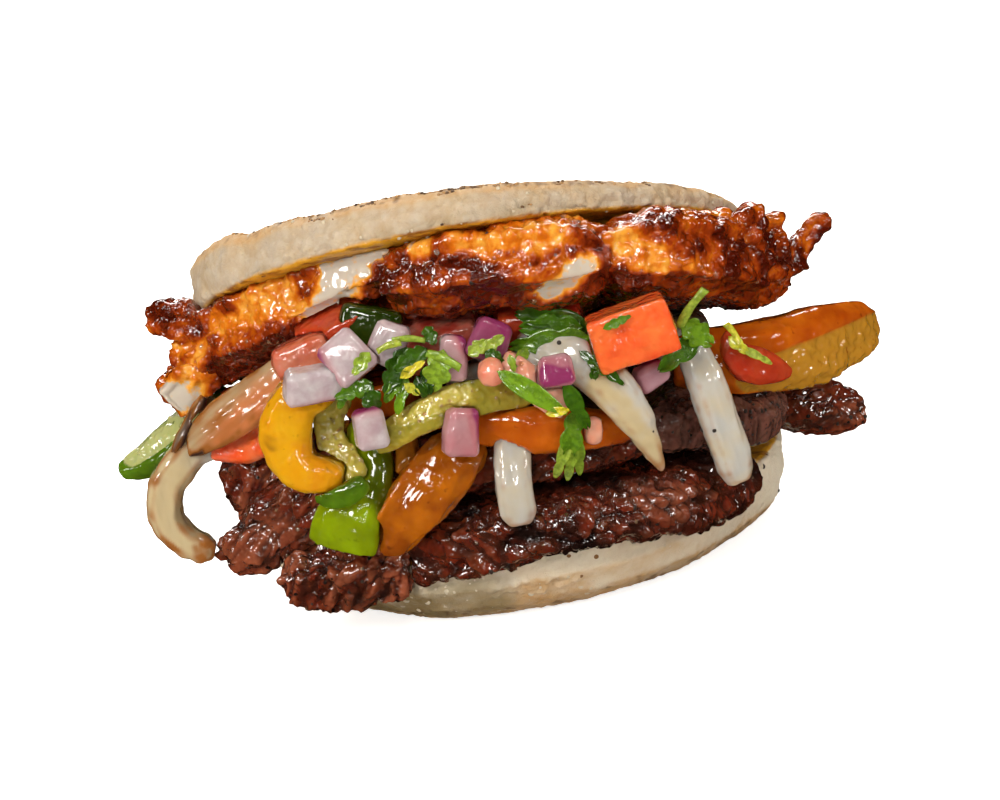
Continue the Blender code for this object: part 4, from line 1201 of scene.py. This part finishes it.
pepper_black, tree, shader = fresh("ground_pepper", Roughness=0.5)
dark = mix(tree, grain(tree, 0.4, 2), (0.006, 0.004, 0.003), (0.045, 0.025, 0.014))
tree.links.new(dark, shader.inputs["Base Color"])
bump(tree, shader, grain(tree, 0.3, 2), 0.1)
parts = []
for index, (name, count) in enumerate(
    {
        "steak_block_peppered": 60,
        "steak_slice_lower": 60,
        "steak_slice_upper": 25,
        "steak_end_right": 16,
        "steak_end_left_top": 14,
        "steak_chunk_front_left": 16,
        "onion_strip_centre": 3,
        "onion_strip_right": 2,
        "corn_half_bottom": 5,
        "corn_half_top": 7,
        "fried_cheese_left": 2,
        "fried_cheese_middle": 3,
    }.items()
):
    parts += scatter(pieces[name], count, 200 + index, EVERYWHERE, (0.18, 0.5), 0.7, 0.1)
joined("pepper_grains", parts, pepper_black)

parts = scatter(pieces["corn_half_bottom"], 50, 230, ((-30, -60, 1), (10, -40, 14)), (0.3, 0.8), 0.6, 0.5)
parts += scatter(pieces["corn_half_bottom"], 30, 231, ((-8, -60, 8), (50, -20, 16)), (0.2, 0.5), 0.6, 0.4)
parts += scatter(pieces["corn_half_top"], 60, 232, ((-60, -70, 60), (60, -20, 90)), (0.2, 0.5), 0.8, 0.3)
corn_grain, tree, shader = fresh(
    "corn_grain", Roughness=0.4, Subsurface_Weight=0.3, Subsurface_Radius=(1, 0.7, 0.4), Subsurface_Scale=1 * MM
)
tree.links.new(mix(tree, mask(tree, "tone"), (0.54, 0.43, 0.29), (0.62, 0.52, 0.37)), shader.inputs["Base Color"])
bump(tree, shader, placed(tree, crumb, Size=0.4).outputs["Height"], 0.1)
joined("corn_grains", parts, corn_grain)

parts = scatter(pieces["corn_half_top"], 240, 233, EVERYWHERE, (0.15, 0.4), 0.8, 0.2, 0.93)
toasted_crumb, tree, shader = fresh("toasted_crumb", Roughness=0.6)
tree.links.new(mix(tree, mask(tree, "tone"), (0.05, 0.02, 0.008), (0.45, 0.24, 0.08)), shader.inputs["Base Color"])
joined("toasted_crumbs", parts, toasted_crumb)

clear, tree, shader = fresh(
    "fat_and_juice", Roughness=0.03, IOR=1.36, Transmission_Weight=0.9, Coat_Weight=0.6, Coat_Roughness=0.02
)
tree.links.new(mix(tree, mask(tree, "tone"), (1.0, 0.93, 0.82), (0.95, 0.62, 0.30)), shader.inputs["Base Color"])
parts = []
for index, (name, count, largest) in enumerate(
    [
        ("fried_cheese_left", 90, 0.6),
        ("fried_cheese_middle", 110, 0.6),
        ("fried_cheese_right", 90, 0.6),
        ("olive_fold", 30, 0.5),
        ("long_olive_strip", 30, 0.5),
        ("steak_slice_lower", 80, 0.5),
        ("steak_chunk_front_left", 30, 0.45),
        ("steak_end_left_low", 30, 0.45),
        ("tomato_cut_flesh", 14, 0.5),
    ]
):
    parts += scatter(pieces[name], count, 240 + index, EVERYWHERE, (0.2, largest), 0.55, 0.15)
joined("juice_beads", parts, clear)

# --- end -------------------------------------------------------------------------------------------

import json
